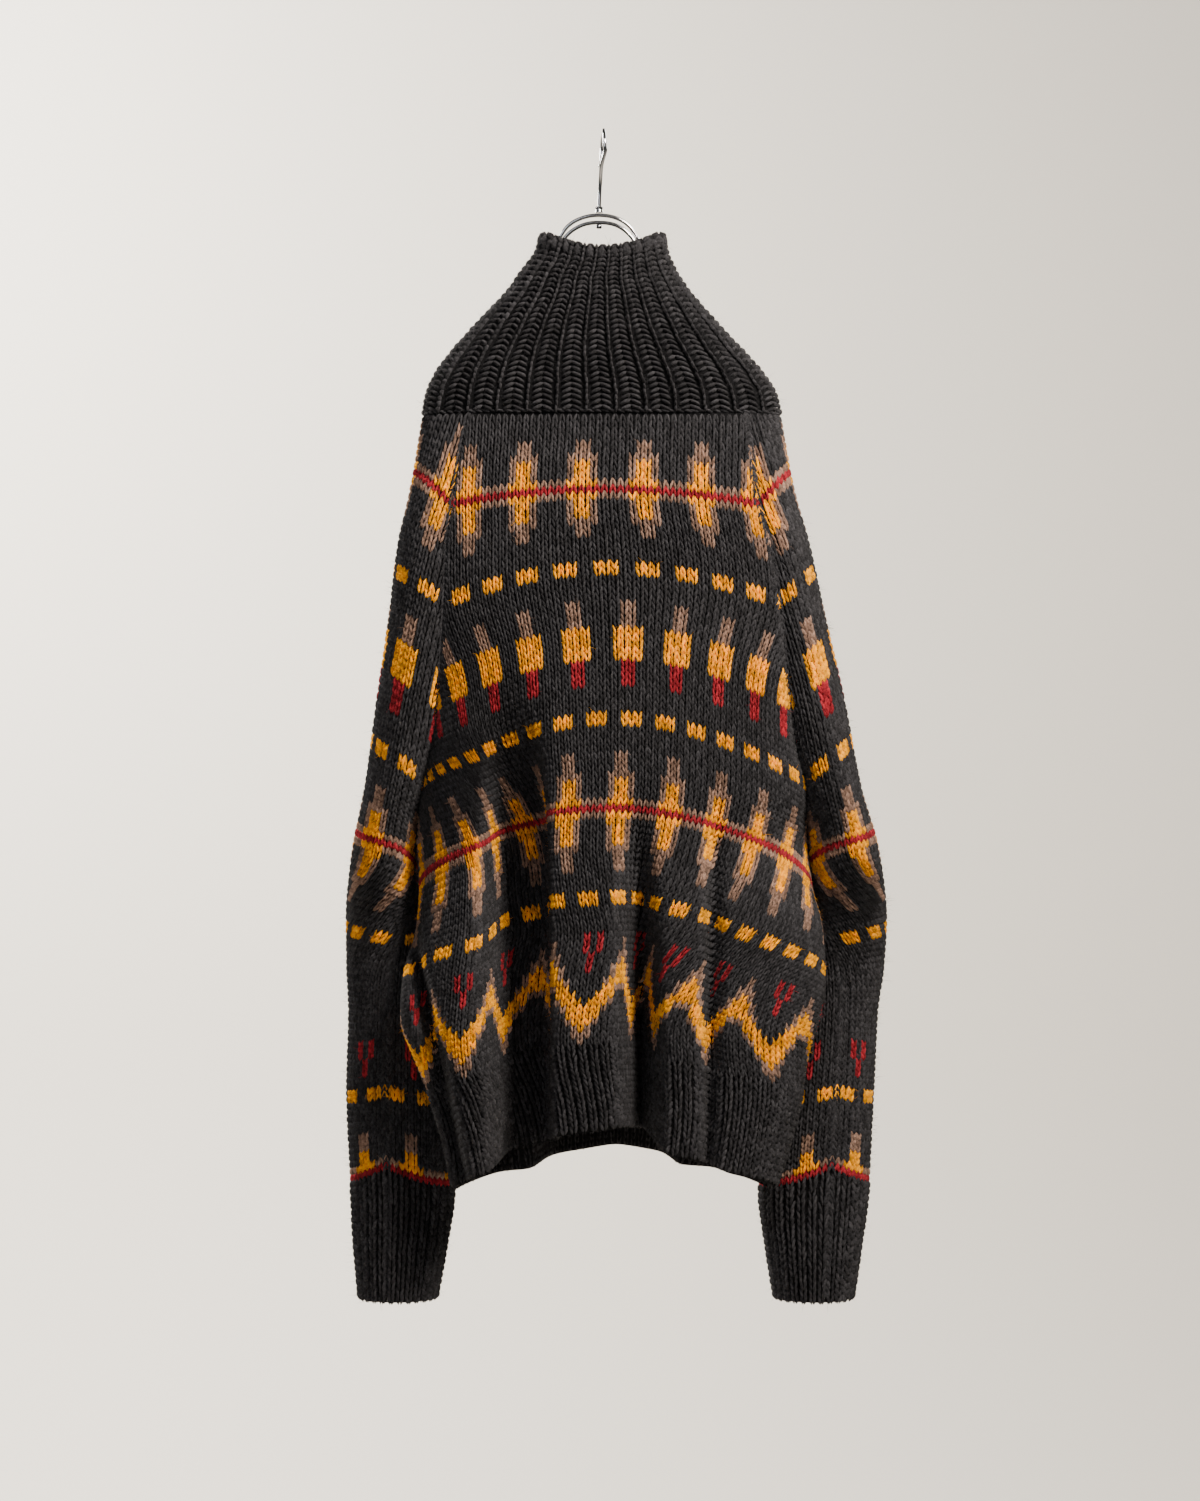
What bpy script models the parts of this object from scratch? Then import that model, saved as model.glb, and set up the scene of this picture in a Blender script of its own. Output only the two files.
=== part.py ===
"""A bulky fair isle turtleneck sweater on a wire hanger, modelled in metres with +Z up.

The hanger's hook bears at the origin. The side of the sweater that faces -Y is its back, and the
whole is measured in millimetres below. Each piece of knitting is a wall: its outside is read from
horizontal profiles of the hung sweater, resampled at equal steps of cloth, and its inside is the
same profile moved in by the thickness of the knitting. Pieces that are sewn together have their rows
of points at the same heights along the seam.
"""

import math

import bmesh
import bpy
import numpy as np

MM = 0.001

# The knitting, in millimetres.
WALL = 4.0
SEAM_GAP = 0.3
RIB_RISE = 2.2
RIB_START = 3.0
PROFILE_STEP = 5.0
PROFILE_POINTS = 400

# The share of the body's bulge, next to its seams, that no fold crosses in full.
EDGE_RISE = 0.4

# Heights under the hook's bearing point, in millimetres, all of them at the seams.
NECK_TOP = -99.0
NECK_DIP = 12.0
NECK_SEAM = -272.0
UNDERARM = -687.0
RIB_TOP = -922.0
HEM_END = -1012.0
CUFF_TOP = -1004.0
CUFF_END = -1126.0
LOWEST = -1152.0

# How many strips of faces each piece has, across its cloth and down it.
ACROSS_BACK = 44
ACROSS_FRONT = 30
ACROSS_SLEEVE = 20
ACROSS_COLLAR = 30
DOWN_COLLAR = 9
DOWN_RAGLAN = 11
DOWN_SIDE = 6
DOWN_HEM = 3
DOWN_ARM = 9
DOWN_CUFF = 3

# The outline of the collar: its sides and how far it bulges to the back and to the front.
COLLAR = {
    "height": (-99, -116, -134, -152, -170, -192, -212, -231, -252, -272),
    "left": (-57, -63, -77, -89, -106, -127, -145, -159, -168, -172),
    "right": (56, 60, 68, 80, 95, 115, 134, 151, 164, 169),
    "bulge": (36, 38, 40, 42, 42, 41, 39, 37, 35, 33),
}

# The raglan seams, where the body meets the sleeves: how far out they lie on each side.
RAGLAN = {
    "height": (-272, -299, -353, -397, -461, -542, -586, -631, -660, -687),
    "left": (-128, -133, -142, -147, -150, -155, -161, -171, -177, -181),
    "right": (136, 139, 145, 157, 167, 175, 181, 192, 194, 197),
}

# The side seams of the body under the arms.
SIDES = {
    "height": (-687, -723, -761, -810, -850, -881, -924, -974, -1021),
    "left": (-180.5, -169, -176, -190, -192, -181, -164, -150, -141),
    "right": (196.5, 199, 208, 211, 205, 195, 188, 175, 160),
    "lean": (26, 8, -5, -10, -11, -11, -11, -10, -9),
}

# The sleeves: outer edge, inner edge, half their depth, how far their middle lies towards the
# front, half the arc that their cloth covers, and how far the underarm seam has turned to the back.
SLEEVES = {
    "height": (-272, -339, -397, -461, -542, -631, -687, -761, -804, -846, -924, -1026, -1075, -1126),
    "left_out": (-172, -183, -196, -204, -216, -229, -241, -250, -250, -248, -250, -245, -242, -237),
    "right_out": (169, 181, 197, 211, 230, 248, 265, 276, 274, 268, 264, 258, 251, 243),
    "left_in": (-128, -140, -147, -150, -155, -171, -181.5, -170, -160, -153, -146, -147, -154, -163),
    "right_in": (136, 144, 157, 168, 176, 192, 197.5, 189, 182, 175, 162, 154, 160, 168),
    "half_depth": (28, 40, 47, 52, 55, 54, 50, 48, 46, 46, 45, 41, 38, 33),
    "middle": (0, 0, 1, 3, 7, 16, 26, 54, 58, 58, 57, 54, 50, 46),
    "half_arc": (90, 96, 101, 108, 119, 142, 179.9, 179.9, 179.9, 179.9, 179.9, 179.9, 179.9, 179.9),
    "seam_turn": (0, 0, 0, 0, 0, 0, 0, 60, 90, 100, 104, 104, 104, 104),
}

# How far the body bulges to the back and to the front, between its folds.
BODY = {
    "height": (-272, -353, -461, -560, -689, -804, -924, -1021),
    "back": (33, 47, 57, 66, 76, 84, 88, 90),
    "front": (33, 47, 56, 62, 66, 68, 70, 72),
}

# Folds in the back, from its left side to its right: where each lies at its top and at the hem, the
# height at which it starts and the one at which it is at its deepest, how deep and half how wide it
# is there, and how far its floor slides sideways under the cloth beside it.
BACK_FOLDS = (
    # top_x, hem_x, starts, fullest, depth, half_width, slide
    (-104, -88, -500, -760, 56, 15, -3),
    (-60, -50, -540, -720, 30, 12, 20),
    (30, 36, -610, -1000, 58, 14, 2),
    (118, 100, -600, -790, 20, 9, -4),
    (-288, -130, -700, -830, 26, 9, 3),
    (-150, -134, -720, -900, -7, 24, 0),
)

# The same, in the front that hangs away from the view.
FRONT_FOLDS = (
    # top_x, hem_x, starts, fullest, depth, half_width, slide
    (-70, -78, -540, -900, 34, 17, 3),
    (8, 14, -480, -900, -12, 26, 0),
    (74, 84, -560, -900, 38, 16, -4),
)

# The rows of knitting: the height of a row at the middle of a piece, how far the row hangs lower at
# the side edges of the back and the front, and the power that shapes its curve.
BODY_ROWS = {
    "height": (-272, -346, -422, -492, -562, -646, -730, -868, -962, -1006),
    "back_drop": (0, 14, 32, 46, 66, 80, 78, 54, 52, 52),
    "front_drop": (0, 12, 30, 42, 58, 62, 50, 30, 14, 6),
    "power": (2, 2, 2, 2, 2, 1.9, 1.8, 1.5, 1.3, 1.3),
}

# The same for the sleeves: how far a row hangs lower at the raglan seams, or lies higher at the
# underarm seam lower down.
SLEEVE_ROWS = {
    "height": (-272, -320, -426, -500, -583, -671, -763, -860, -950, -1020, -1060, -1126),
    "drop": (0, 34, 32, 46, 44, 36, 14, -8, -12, -16, -6, 0),
    "power": (2, 2, 2, 2, 2, 2, 2, 3, 3, 3, 3, 3),
}

# The hanger: chrome wire bent into a hook and two shoulder wires, which lie apart lower down.
WIRE = 3.8
WIRES_APART = 9.0
HOOK_RADIUS = 17.5
SHOULDER_WIRE = (
    # x, height of the outer wire, height of the inner wire
    (-152, -263, -268),
    (-148, -247, -252),
    (-141, -232, -238),
    (-128, -213, -219),
    (-112, -195, -201),
    (-93, -175, -181),
    (-75, -153, -160),
    (-58, -128, -136),
    (-44, -105, -113),
    (-34, -90, -98),
    (-20, -82, -89),
    (-4, -79.5, -86.5),
    (12, -82, -89),
    (25, -90, -98),
    (35, -105, -113),
    (49, -128, -136),
    (65, -153, -160),
    (83, -175, -181),
    (102, -195, -201),
    (119, -213, -219),
    (136, -232, -238),
    (144, -247, -252),
    (148, -263, -268),
)

HEIGHTS = np.arange(NECK_SEAM, LOWEST, -PROFILE_STEP)


def eased(height, table, column):
    """Reads a column of a table at any height, on a smooth curve that never overshoots its rows."""
    at = -np.asarray(table["height"], float)
    value = np.asarray(table[column], float)
    step = np.diff(at)
    slope = np.diff(value) / step
    tangent = np.concatenate([[slope[0]], np.zeros(len(slope) - 1), [slope[-1]]])
    same_way = slope[:-1] * slope[1:] > 0
    both = slope[:-1] + slope[1:]
    tangent[1:-1][same_way] = 2 * (slope[:-1] * slope[1:])[same_way] / both[same_way]
    where = np.clip(-np.asarray(height, float), at[0], at[-1])
    row = np.clip(np.searchsorted(at, where, side="right") - 1, 0, len(step) - 1)
    t = (where - at[row]) / step[row]
    low, high = value[row], value[row + 1]
    start = (1 - t) ** 2 * t * step[row] * tangent[row]
    end = (1 - t) * t**2 * step[row] * tangent[row + 1]
    return low + (high - low) * t * t * (3 - 2 * t) + start - end


def grown(height, starts, fullest):
    """0 above the height where a fold starts, 1 below the one where it is full, smooth between."""
    t = np.clip((starts - height) / (starts - fullest), 0, 1)
    return t * t * (3 - 2 * t)


def folded(x, y, rise, outward, height, folds):
    """Moves a profile's points in or out where folds run through it, but not at its seams."""
    base = x.copy()
    inside = grown(-rise, 0, -EDGE_RISE)
    for top_x, hem_x, starts, fullest, depth, half_width, slide in folds:
        full = grown(height, starts, fullest)
        down = np.clip((NECK_SEAM - height) / (NECK_SEAM - HEM_END), 0, 1)
        centre = top_x + (hem_x - top_x) * down
        bell = np.exp(-(((base - centre) / half_width) ** 2))
        y = y - outward * depth * full * bell * inside
        x = x + slide * full * bell * inside
    return x, y


def raglan_end(side, face, height):
    """Where the raglan seam or, under the arm, the side seam of the body lies at this height."""
    if height <= UNDERARM:
        return float(eased(height, SIDES, side)), float(eased(height, SIDES, "lean"))
    half_arc = math.radians(float(eased(height, SLEEVES, "half_arc")))
    depth = float(eased(height, SLEEVES, "half_depth")) * math.sin(half_arc)
    middle = float(eased(height, SLEEVES, "middle"))
    return float(eased(height, RAGLAN, side)), middle + face * depth


def body_profile(height, face):
    """A panel of the body from its left seam to its right one: face is -1 at the back, 1 in front."""
    left_x, left_y = raglan_end("left", face, height)
    right_x, right_y = raglan_end("right", face, height)
    bulge = float(eased(height, BODY, "back" if face < 0 else "front"))
    turn = np.linspace(-math.pi / 2, math.pi / 2, PROFILE_POINTS + 1)
    under = grown(height, UNDERARM + 60, UNDERARM - 60)
    if face < 0:
        reach = 2 / (2.2 + 0.4 * under)
        rise = np.cos(turn) ** reach
    else:
        reach = 1.0
        rise = np.cos(turn) ** (1 + 0.75 * under)
    across = np.sign(np.sin(turn)) * np.abs(np.sin(turn)) ** reach
    x = (left_x + right_x) / 2 + (right_x - left_x) / 2 * across
    edge = left_y + (right_y - left_y) * (across + 1) / 2
    y = edge + (face * bulge - edge) * rise
    return folded(x, y, rise, face, height, BACK_FOLDS if face < 0 else FRONT_FOLDS)


def sleeve_profile(height, side):
    """A sleeve from its back seam, round its outer side, to its front seam."""
    out = float(eased(height, SLEEVES, side + "_out"))
    half_arc = math.radians(float(eased(height, SLEEVES, "half_arc")))
    half_depth = float(eased(height, SLEEVES, "half_depth"))
    middle = float(eased(height, SLEEVES, "middle"))
    inner = float(eased(height, SLEEVES, side + "_in"))
    if height > UNDERARM:
        inner = float(eased(height, RAGLAN, side))
    half_width = (inner - out) / (1 - math.cos(half_arc))
    centre = out + half_width
    turned = math.radians(float(eased(height, SLEEVES, "seam_turn")))
    angle = np.linspace(-half_arc, half_arc, PROFILE_POINTS + 1) + turned
    return centre - half_width * np.cos(angle), middle + half_depth * np.sin(angle)


def cloth(profile):
    """Profiles at all heights, each resampled at equal steps of cloth from its middle outwards."""
    share = np.linspace(0, 1, PROFILE_POINTS // 2 + 1)
    found = {"x": [], "y": [], "nx": [], "ny": [], "half": []}
    for height in HEIGHTS:
        x, y = profile(height)
        run = np.concatenate([[0], np.cumsum(np.hypot(np.diff(x), np.diff(y)))])
        middle = run[PROFILE_POINTS // 2]
        at = np.concatenate([middle * share[:-1], middle + (run[-1] - middle) * share])
        x, y = np.interp(at, run, x), np.interp(at, run, y)
        dx, dy = np.gradient(x), np.gradient(y)
        length = np.hypot(dx, dy)
        found["x"].append(x)
        found["y"].append(y)
        found["nx"].append(dy / length)
        found["ny"].append(-dx / length)
        found["half"].append((middle, run[-1] - middle))
    return {name: np.array(rows) for name, rows in found.items()}


def flip(sheet):
    """Turns a cloth's normals over, for one whose profile runs the other way round the sweater."""
    sheet["nx"], sheet["ny"] = -sheet["nx"], -sheet["ny"]
    return sheet


def share_edge(one, one_end, other, other_end, heights):
    """Gives two cloths that meet at a seam the same direction there, so their edges are parallel."""
    nx = one["nx"][heights, one_end] + other["nx"][heights, other_end]
    ny = one["ny"][heights, one_end] + other["ny"][heights, other_end]
    length = np.hypot(nx, ny)
    for sheet, end in ((one, one_end), (other, other_end)):
        for column in (end, 1 if end == 0 else -2):
            sheet["nx"][heights, column] = nx / length
            sheet["ny"][heights, column] = ny / length


def read(sheet, name, height, share):
    """A value of the cloth at a height and at a share of the way from its middle to its edge."""
    row = np.clip((HEIGHTS[0] - height) / PROFILE_STEP, 0, len(HEIGHTS) - 1.001)
    column = np.clip((share + 1) / 2 * PROFILE_POINTS, 0, PROFILE_POINTS - 1e-6)
    r, c = row.astype(int), column.astype(int)
    fr, fc = row - r, column - c
    grid = sheet[name]
    upper = grid[r, c] * (1 - fc) + grid[r, c + 1] * fc
    lower = grid[r + 1, c] * (1 - fc) + grid[r + 1, c + 1] * fc
    return upper * (1 - fr) + lower * fr


def place(sheet, height, share, out=0.0):
    """Points of the cloth, moved out of its surface by some millimetres."""
    x = read(sheet, "x", height, share) + out * read(sheet, "nx", height, share)
    y = read(sheet, "y", height, share) + out * read(sheet, "ny", height, share)
    return np.stack(np.broadcast_arrays(x, y, height), axis=-1)


def seam_rows(marks, strips, sewn_end=True):
    """Heights of rows at a seam: some strips between each two marks, half a gap inside the ends."""
    rows = [marks[0] - SEAM_GAP / 2]
    for top, end, count in zip(marks, marks[1:], strips):
        rows.extend(np.linspace(top, end, count + 1)[1:])
    if sewn_end:
        rows[-1] += SEAM_GAP / 2
    return np.array(rows)


def hung(rows, table, drop, columns):
    """Heights of a grid of points: rows of knitting, each from its height at the piece's seams."""
    middles = np.arange(NECK_SEAM, LOWEST, -1.0)
    at_seams = middles - eased(middles, table, drop)
    middle = np.interp(-rows, -at_seams, middles)[:, None]
    power = eased(middle, table, "power")
    return middle - eased(middle, table, drop) * np.abs(columns[None, :]) ** power


def inset(sheet, heights, columns):
    """Columns, given as shares of a cloth, moved half a seam's gap inside both its edges."""
    left, right = (np.interp(-heights, -HEIGHTS, sheet["half"][:, end]) for end in (0, 1))
    return columns * (1 - SEAM_GAP / 2 / np.where(columns < 0, left, right))


def bridge(faces, long_row, short_row):
    """Joins an edge to one with fewer points, with a fan of triangles for each short step."""
    ratio = (len(long_row) - 1) // (len(short_row) - 1)
    for i in range(len(short_row) - 1):
        split = i * ratio + (ratio + 1) // 2
        for j in range(i * ratio, (i + 1) * ratio):
            faces.append((long_row[j], long_row[j + 1], short_row[i if j < split else i + 1]))
        faces.append((short_row[i], short_row[i + 1], long_row[split]))


def wall_object(name, outer, inner, closed, material):
    """A closed wall between two grids of points.

    An outer grid with more columns has only the inner grid's ones in its first row, at the seam,
    unless the wall is closed round.
    """
    points, faces, loops = [], [], []
    coarse_top = outer.shape[1] > inner.shape[1] and not closed
    for grid in (outer, inner):
        down, across = grid.shape[:2]
        first = len(points)
        points.extend((grid.reshape(-1, 3) * MM).tolist())
        index = first + np.arange(down * across).reshape(down, across)
        if closed:
            index = np.concatenate([index, index[:, :1]], axis=1)
        loops.append(index)
        for r in range(coarse_top and grid is outer, down - 1):
            for c in range(index.shape[1] - 1):
                faces.append((index[r, c], index[r, c + 1], index[r + 1, c + 1], index[r + 1, c]))
    outside, inside = loops
    top = list(outside[0])
    if coarse_top:
        top = top[::2]
        bridge(faces, list(outside[1]), top)
    bridge(faces, top, list(inside[0]))
    bridge(faces, list(outside[-1]), list(inside[-1]))
    if not closed:
        for c in (0, -1):
            for r in range(outside.shape[0] - 1):
                faces.append((outside[r, c], outside[r + 1, c], inside[r, c]))
                faces.append((outside[r + 1, c], inside[r + 1, c], inside[r, c]))
    mesh = bpy.data.meshes.new(name)
    mesh.from_pydata(points, [], [[int(i) for i in face] for face in faces])
    shell = bmesh.new()
    shell.from_mesh(mesh)
    unused = [point for point in shell.verts if not point.link_faces]
    bmesh.ops.delete(shell, geom=unused, context="VERTS")
    bmesh.ops.recalc_face_normals(shell, faces=shell.faces)
    bmesh.ops.triangulate(shell, faces=shell.faces)
    shell.to_mesh(mesh)
    shell.free()
    mesh.shade_smooth()
    mesh.set_sharp_from_angle(angle=math.radians(40))
    return add_object(name, mesh, material)


def add_object(name, data, material):
    data.materials.append(material)
    made = bpy.data.objects.new(name, data)
    bpy.data.collections["sweater"].objects.link(made)
    return made


def make_material(name, color, roughness, metallic=0.0):
    material = bpy.data.materials.new(name)
    material.use_nodes = True
    shader = material.node_tree.nodes["Principled BSDF"]
    shader.inputs["Base Color"].default_value = (*color, 1)
    shader.inputs["Roughness"].default_value = roughness
    shader.inputs["Metallic"].default_value = metallic
    return material


def plain_piece(name, sheet, rows, strips, table, drop, material):
    """A piece of plain knitting: its outside lies on the cloth, its inside a wall's thickness in."""
    columns = np.linspace(-1, 1, strips + 1)
    heights = hung(rows, table, drop, columns)
    share = inset(sheet, heights, columns)
    outer = place(sheet, heights, share)
    inner = place(sheet, heights, share, -WALL)
    return wall_object(name, outer, inner, False, material)


def ribbed_piece(name, sheet, rows, ribs, table, drop, material):
    """A piece of ribbing, open at its two side edges: each rib stands out of a plain wall."""
    columns = np.linspace(-1, 1, 2 * ribs + 1)
    heights = hung(rows, table, drop, columns)
    share = inset(sheet, heights, columns)
    rise = np.where(np.arange(len(columns)) % 2 == 1, RIB_RISE, 0.0)
    outer = place(sheet, heights, share, rise[None, :])
    inner = place(sheet, heights, share, -WALL)[:, ::2]
    return wall_object(name, outer, inner, False, material)


def build_body(back, front, wool):
    rows = seam_rows((NECK_SEAM, UNDERARM, RIB_TOP), (DOWN_RAGLAN, DOWN_SIDE))
    hem_rows = seam_rows((RIB_TOP, RIB_TOP - RIB_START, HEM_END), (1, DOWN_HEM), sewn_end=False)
    plain_piece("back_panel", back, rows, ACROSS_BACK, BODY_ROWS, "back_drop", wool)
    plain_piece("front_panel", front, rows, ACROSS_FRONT, BODY_ROWS, "front_drop", wool)
    ribbed_piece("hem_rib_back", back, hem_rows, ACROSS_BACK, BODY_ROWS, "back_drop", wool)
    ribbed_piece("hem_rib_front", front, hem_rows, ACROSS_FRONT, BODY_ROWS, "front_drop", wool)


def build_sleeve(side, sheet, wool):
    rows = seam_rows((NECK_SEAM, UNDERARM, CUFF_TOP), (DOWN_RAGLAN, DOWN_ARM))
    cuff_rows = seam_rows((CUFF_TOP, CUFF_TOP - RIB_START, CUFF_END), (1, DOWN_CUFF), sewn_end=False)
    plain_piece("sleeve_" + side, sheet, rows, ACROSS_SLEEVE, SLEEVE_ROWS, "drop", wool)
    ribbed_piece("cuff_" + side, sheet, cuff_rows, ACROSS_SLEEVE, SLEEVE_ROWS, "drop", wool)


def collar_ring(height, angle, out):
    """Points round the collar: an oval that is squarer at the shoulders than at the top."""
    left, right = eased(height, COLLAR, "left"), eased(height, COLLAR, "right")
    square = 2 / (2.2 + 0.8 * grown(height, -200, NECK_SEAM))
    across = np.sign(np.cos(angle)) * np.abs(np.cos(angle)) ** square
    deep = np.sign(np.sin(angle)) * np.abs(np.sin(angle)) ** square
    x = (left + right) / 2 + ((right - left) / 2 + out) * across
    y = (eased(height, COLLAR, "bulge") + out) * deep
    return np.stack(np.broadcast_arrays(x, y, height), axis=-1)


def build_collar(wool):
    rows = np.linspace(NECK_TOP, NECK_SEAM + SEAM_GAP / 2, DOWN_COLLAR + 1)
    low = np.linspace(1, 0, DOWN_COLLAR + 1) ** 2
    grids = []
    for ribs, step in ((2, RIB_RISE), (1, 0)):
        count = ribs * ACROSS_COLLAR
        angle = np.arange(count) * 2 * math.pi / count
        dip = NECK_DIP * low[:, None] * np.abs(np.sin(angle[None, :])) ** 1.5
        height = rows[:, None] - dip
        out = np.where(np.arange(count) % 2 == 1, step, 0.0) if ribs == 2 else -WALL - 1
        grids.append(collar_ring(height, angle[None, :], out))
    wall_object("collar", grids[0], grids[1], True, wool)


def wire_object(name, points, radius, closed, material, sides=2):
    """A round wire along a smooth run of points, given in millimetres."""
    data = bpy.data.curves.new(name, "CURVE")
    data.dimensions = "3D"
    data.bevel_depth = radius * MM
    data.bevel_resolution = sides
    data.use_fill_caps = True
    spline = data.splines.new("POLY")
    spline.points.add(len(points) - 1)
    for point, (x, y, z) in zip(spline.points, points):
        point.co = (x * MM, y * MM, z * MM, 1)
    spline.use_cyclic_u = closed
    spline.use_smooth = True
    return add_object(name, data, material)


def rounded(points, steps):
    """A smooth curve through the points of a run, closed round to its start."""
    points = np.array(points, float)
    count = len(points)
    run = []
    for i in range(count):
        a, b, c, d = (points[(i + k) % count] for k in (-1, 0, 1, 2))
        for t in np.arange(steps) / steps:
            cubic = 2 * b + (c - a) * t + (2 * a - 5 * b + 4 * c - d) * t**2
            run.append((cubic + (3 * b - a - 3 * c + d) * t**3) / 2)
    return run


def build_hanger(chrome):
    radius = WIRE / 2
    half = len(SHOULDER_WIRE) // 2
    outer, inner = [], []
    for i, (x, outer_height, inner_height) in enumerate(SHOULDER_WIRE):
        apart = min(1.0, abs(i - half) / half * 1.25) ** 2 * WIRES_APART
        outer.append((x, apart, outer_height))
        inner.append((x, -apart, inner_height))
    left_tip = (SHOULDER_WIRE[0][0] - 4, 0, SHOULDER_WIRE[0][2] - 2)
    right_tip = (SHOULDER_WIRE[-1][0] + 4, 0, SHOULDER_WIRE[-1][2] - 2)
    loop = outer + [right_tip] + inner[::-1] + [left_tip]
    wire_object("hanger_shoulders", rounded(loop, 2), radius, True, chrome, sides=1)

    top = SHOULDER_WIRE[half][1] + radius + SEAM_GAP
    neck = np.array([(-3.8, 0, top + 6.3), (-3.4, 0, -58), (-2.6, -3, -46), (-1.6, -11, -34)])
    turn = np.radians(np.linspace(200, -44, 17))
    centre = radius - HOOK_RADIUS
    arc = [(0.3 - 4 * (i / 16 - 0.4), HOOK_RADIUS * math.cos(a), centre + HOOK_RADIUS * math.sin(a))
           for i, a in enumerate(turn)]
    wire_object("hanger_hook", [tuple(p) for p in neck] + arc, radius, False, chrome)

    end, before = np.array(arc[-1]), np.array(arc[-2])
    ahead = (end - before) / np.linalg.norm(end - before)
    ball = bmesh.new()
    bmesh.ops.create_uvsphere(ball, u_segments=12, v_segments=8, radius=2.6 * MM)
    mesh = bpy.data.meshes.new("hanger_tip")
    ball.to_mesh(mesh)
    ball.free()
    tip = add_object("hanger_tip", mesh, chrome)
    tip.location = (end + ahead * (2.6 + SEAM_GAP)) * MM

    boss = bmesh.new()
    bmesh.ops.create_cone(boss, cap_ends=True, segments=20, radius1=4 * MM, radius2=3.6 * MM, depth=6 * MM)
    mesh = bpy.data.meshes.new("hanger_boss")
    boss.to_mesh(mesh)
    boss.free()
    made = add_object("hanger_boss", mesh, chrome)
    made.location = (-4 * MM, 0, (top + 3) * MM)


def main():
    for old in list(bpy.data.objects):
        bpy.data.objects.remove(old)
    group = bpy.data.collections.new("sweater")
    bpy.context.scene.collection.children.link(group)

    wool = make_material("charcoal_wool", (0.022, 0.022, 0.021), 0.95)
    chrome = make_material("chrome_wire", (0.72, 0.72, 0.73), 0.12, 1.0)

    back = cloth(lambda height: body_profile(height, -1))
    front = flip(cloth(lambda height: body_profile(height, 1)))
    left = flip(cloth(lambda height: sleeve_profile(height, "left")))
    right = cloth(lambda height: sleeve_profile(height, "right"))
    above, below = HEIGHTS > UNDERARM, HEIGHTS <= UNDERARM
    share_edge(back, 0, left, 0, above)
    share_edge(back, -1, right, 0, above)
    share_edge(front, 0, left, -1, above)
    share_edge(front, -1, right, -1, above)
    share_edge(back, 0, front, 0, below)
    share_edge(back, -1, front, -1, below)

    build_body(back, front, wool)
    build_sleeve("left", left, wool)
    build_sleeve("right", right, wool)
    build_collar(wool)
    build_hanger(chrome)


main()
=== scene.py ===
"""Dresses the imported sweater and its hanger: knitted stitches, ribbing, colourwork, wool and chrome.

The shape tables hold millimetres, with +Z up and the hook's bearing point at the origin. The side of
the sweater that faces -Y is its back. Each piece of knitting is read from hung profiles like those of
its solid, and every stitch is laid on it by its row and its column. NECK_DIP, SIDES, BACK_FOLDS,
BODY_ROWS and SLEEVE_ROWS differ in places from the solids' own tables, so the hem's arch and the
back's folds are not quite the solids'.
"""

import math

import bpy
import numpy as np
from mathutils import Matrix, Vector


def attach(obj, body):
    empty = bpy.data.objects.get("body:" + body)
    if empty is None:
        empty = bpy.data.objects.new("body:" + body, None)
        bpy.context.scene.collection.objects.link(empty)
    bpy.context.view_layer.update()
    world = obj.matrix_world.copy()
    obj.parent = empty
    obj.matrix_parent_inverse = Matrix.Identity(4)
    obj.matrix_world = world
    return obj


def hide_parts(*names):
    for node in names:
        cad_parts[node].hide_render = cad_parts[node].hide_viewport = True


bl_info = {
    "name": "Fair isle turtleneck sweater",
    "version": (1, 0, 0),
    "blender": (4, 5, 0),
    "location": "View3D > Sidebar > Sweater",
    "description": "Knits the sweater over its packed solids and sets its hanger and stage",
    "category": "Object",
}

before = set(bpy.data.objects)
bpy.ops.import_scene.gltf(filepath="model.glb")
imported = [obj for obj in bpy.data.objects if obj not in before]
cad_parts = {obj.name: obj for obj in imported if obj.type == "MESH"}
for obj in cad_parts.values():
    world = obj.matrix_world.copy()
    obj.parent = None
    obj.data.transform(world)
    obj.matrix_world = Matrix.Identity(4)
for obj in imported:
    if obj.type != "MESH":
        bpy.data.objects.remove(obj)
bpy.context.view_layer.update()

MM = 0.001
IMAGE_SHAPE = 1501 / 1200

# ---------------------------------------------------------------- the hung cloth

SEAM_GAP = 0.3
PROFILE_STEP = 3.0
PROFILE_POINTS = 560
EDGE_RISE = 0.4
# Between these heights the body's profile changes from its shape at the arms to that below them.
WAIST_STARTS, WAIST_FULL = -629.0, -749.0

NECK_TOP = -99.0
NECK_DIP = 18.0
NECK_SEAM = -272.0
UNDERARM = -687.0
RIB_TOP = -922.0
HEM_END = -1012.0
CUFF_TOP = -1004.0
CUFF_END = -1126.0
LOWEST = -1152.0

# The outline of the collar: its sides and how far it bulges to the back and to the front.
COLLAR = {
    "height": (-99, -116, -134, -152, -170, -192, -212, -231, -252, -272),
    "left": (-57, -63, -77, -89, -106, -127, -145, -159, -168, -172),
    "right": (56, 60, 68, 80, 95, 115, 134, 151, 164, 169),
    "bulge": (36, 38, 40, 42, 42, 41, 39, 37, 35, 33),
}

# The raglan seams, where the body meets the sleeves: how far out they lie on each side.
RAGLAN = {
    "height": (-272, -299, -353, -397, -461, -542, -586, -631, -660, -687),
    "left": (-128, -133, -142, -147, -150, -155, -161, -171, -177, -181),
    "right": (136, 139, 145, 157, 167, 175, 181, 192, 194, 197),
}

# The side seams of the body under the arms.
SIDES = {
    "height": (-687, -723, -761, -810, -850, -881, -924, -974, -1021),
    "left": (-180.5, -175, -177, -190, -192, -181, -164, -150, -141),
    "right": (196.5, 199, 208, 211, 205, 195, 188, 175, 160),
    "lean": (26, 8, -5, -10, -11, -11, -11, -10, -9),
}

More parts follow.
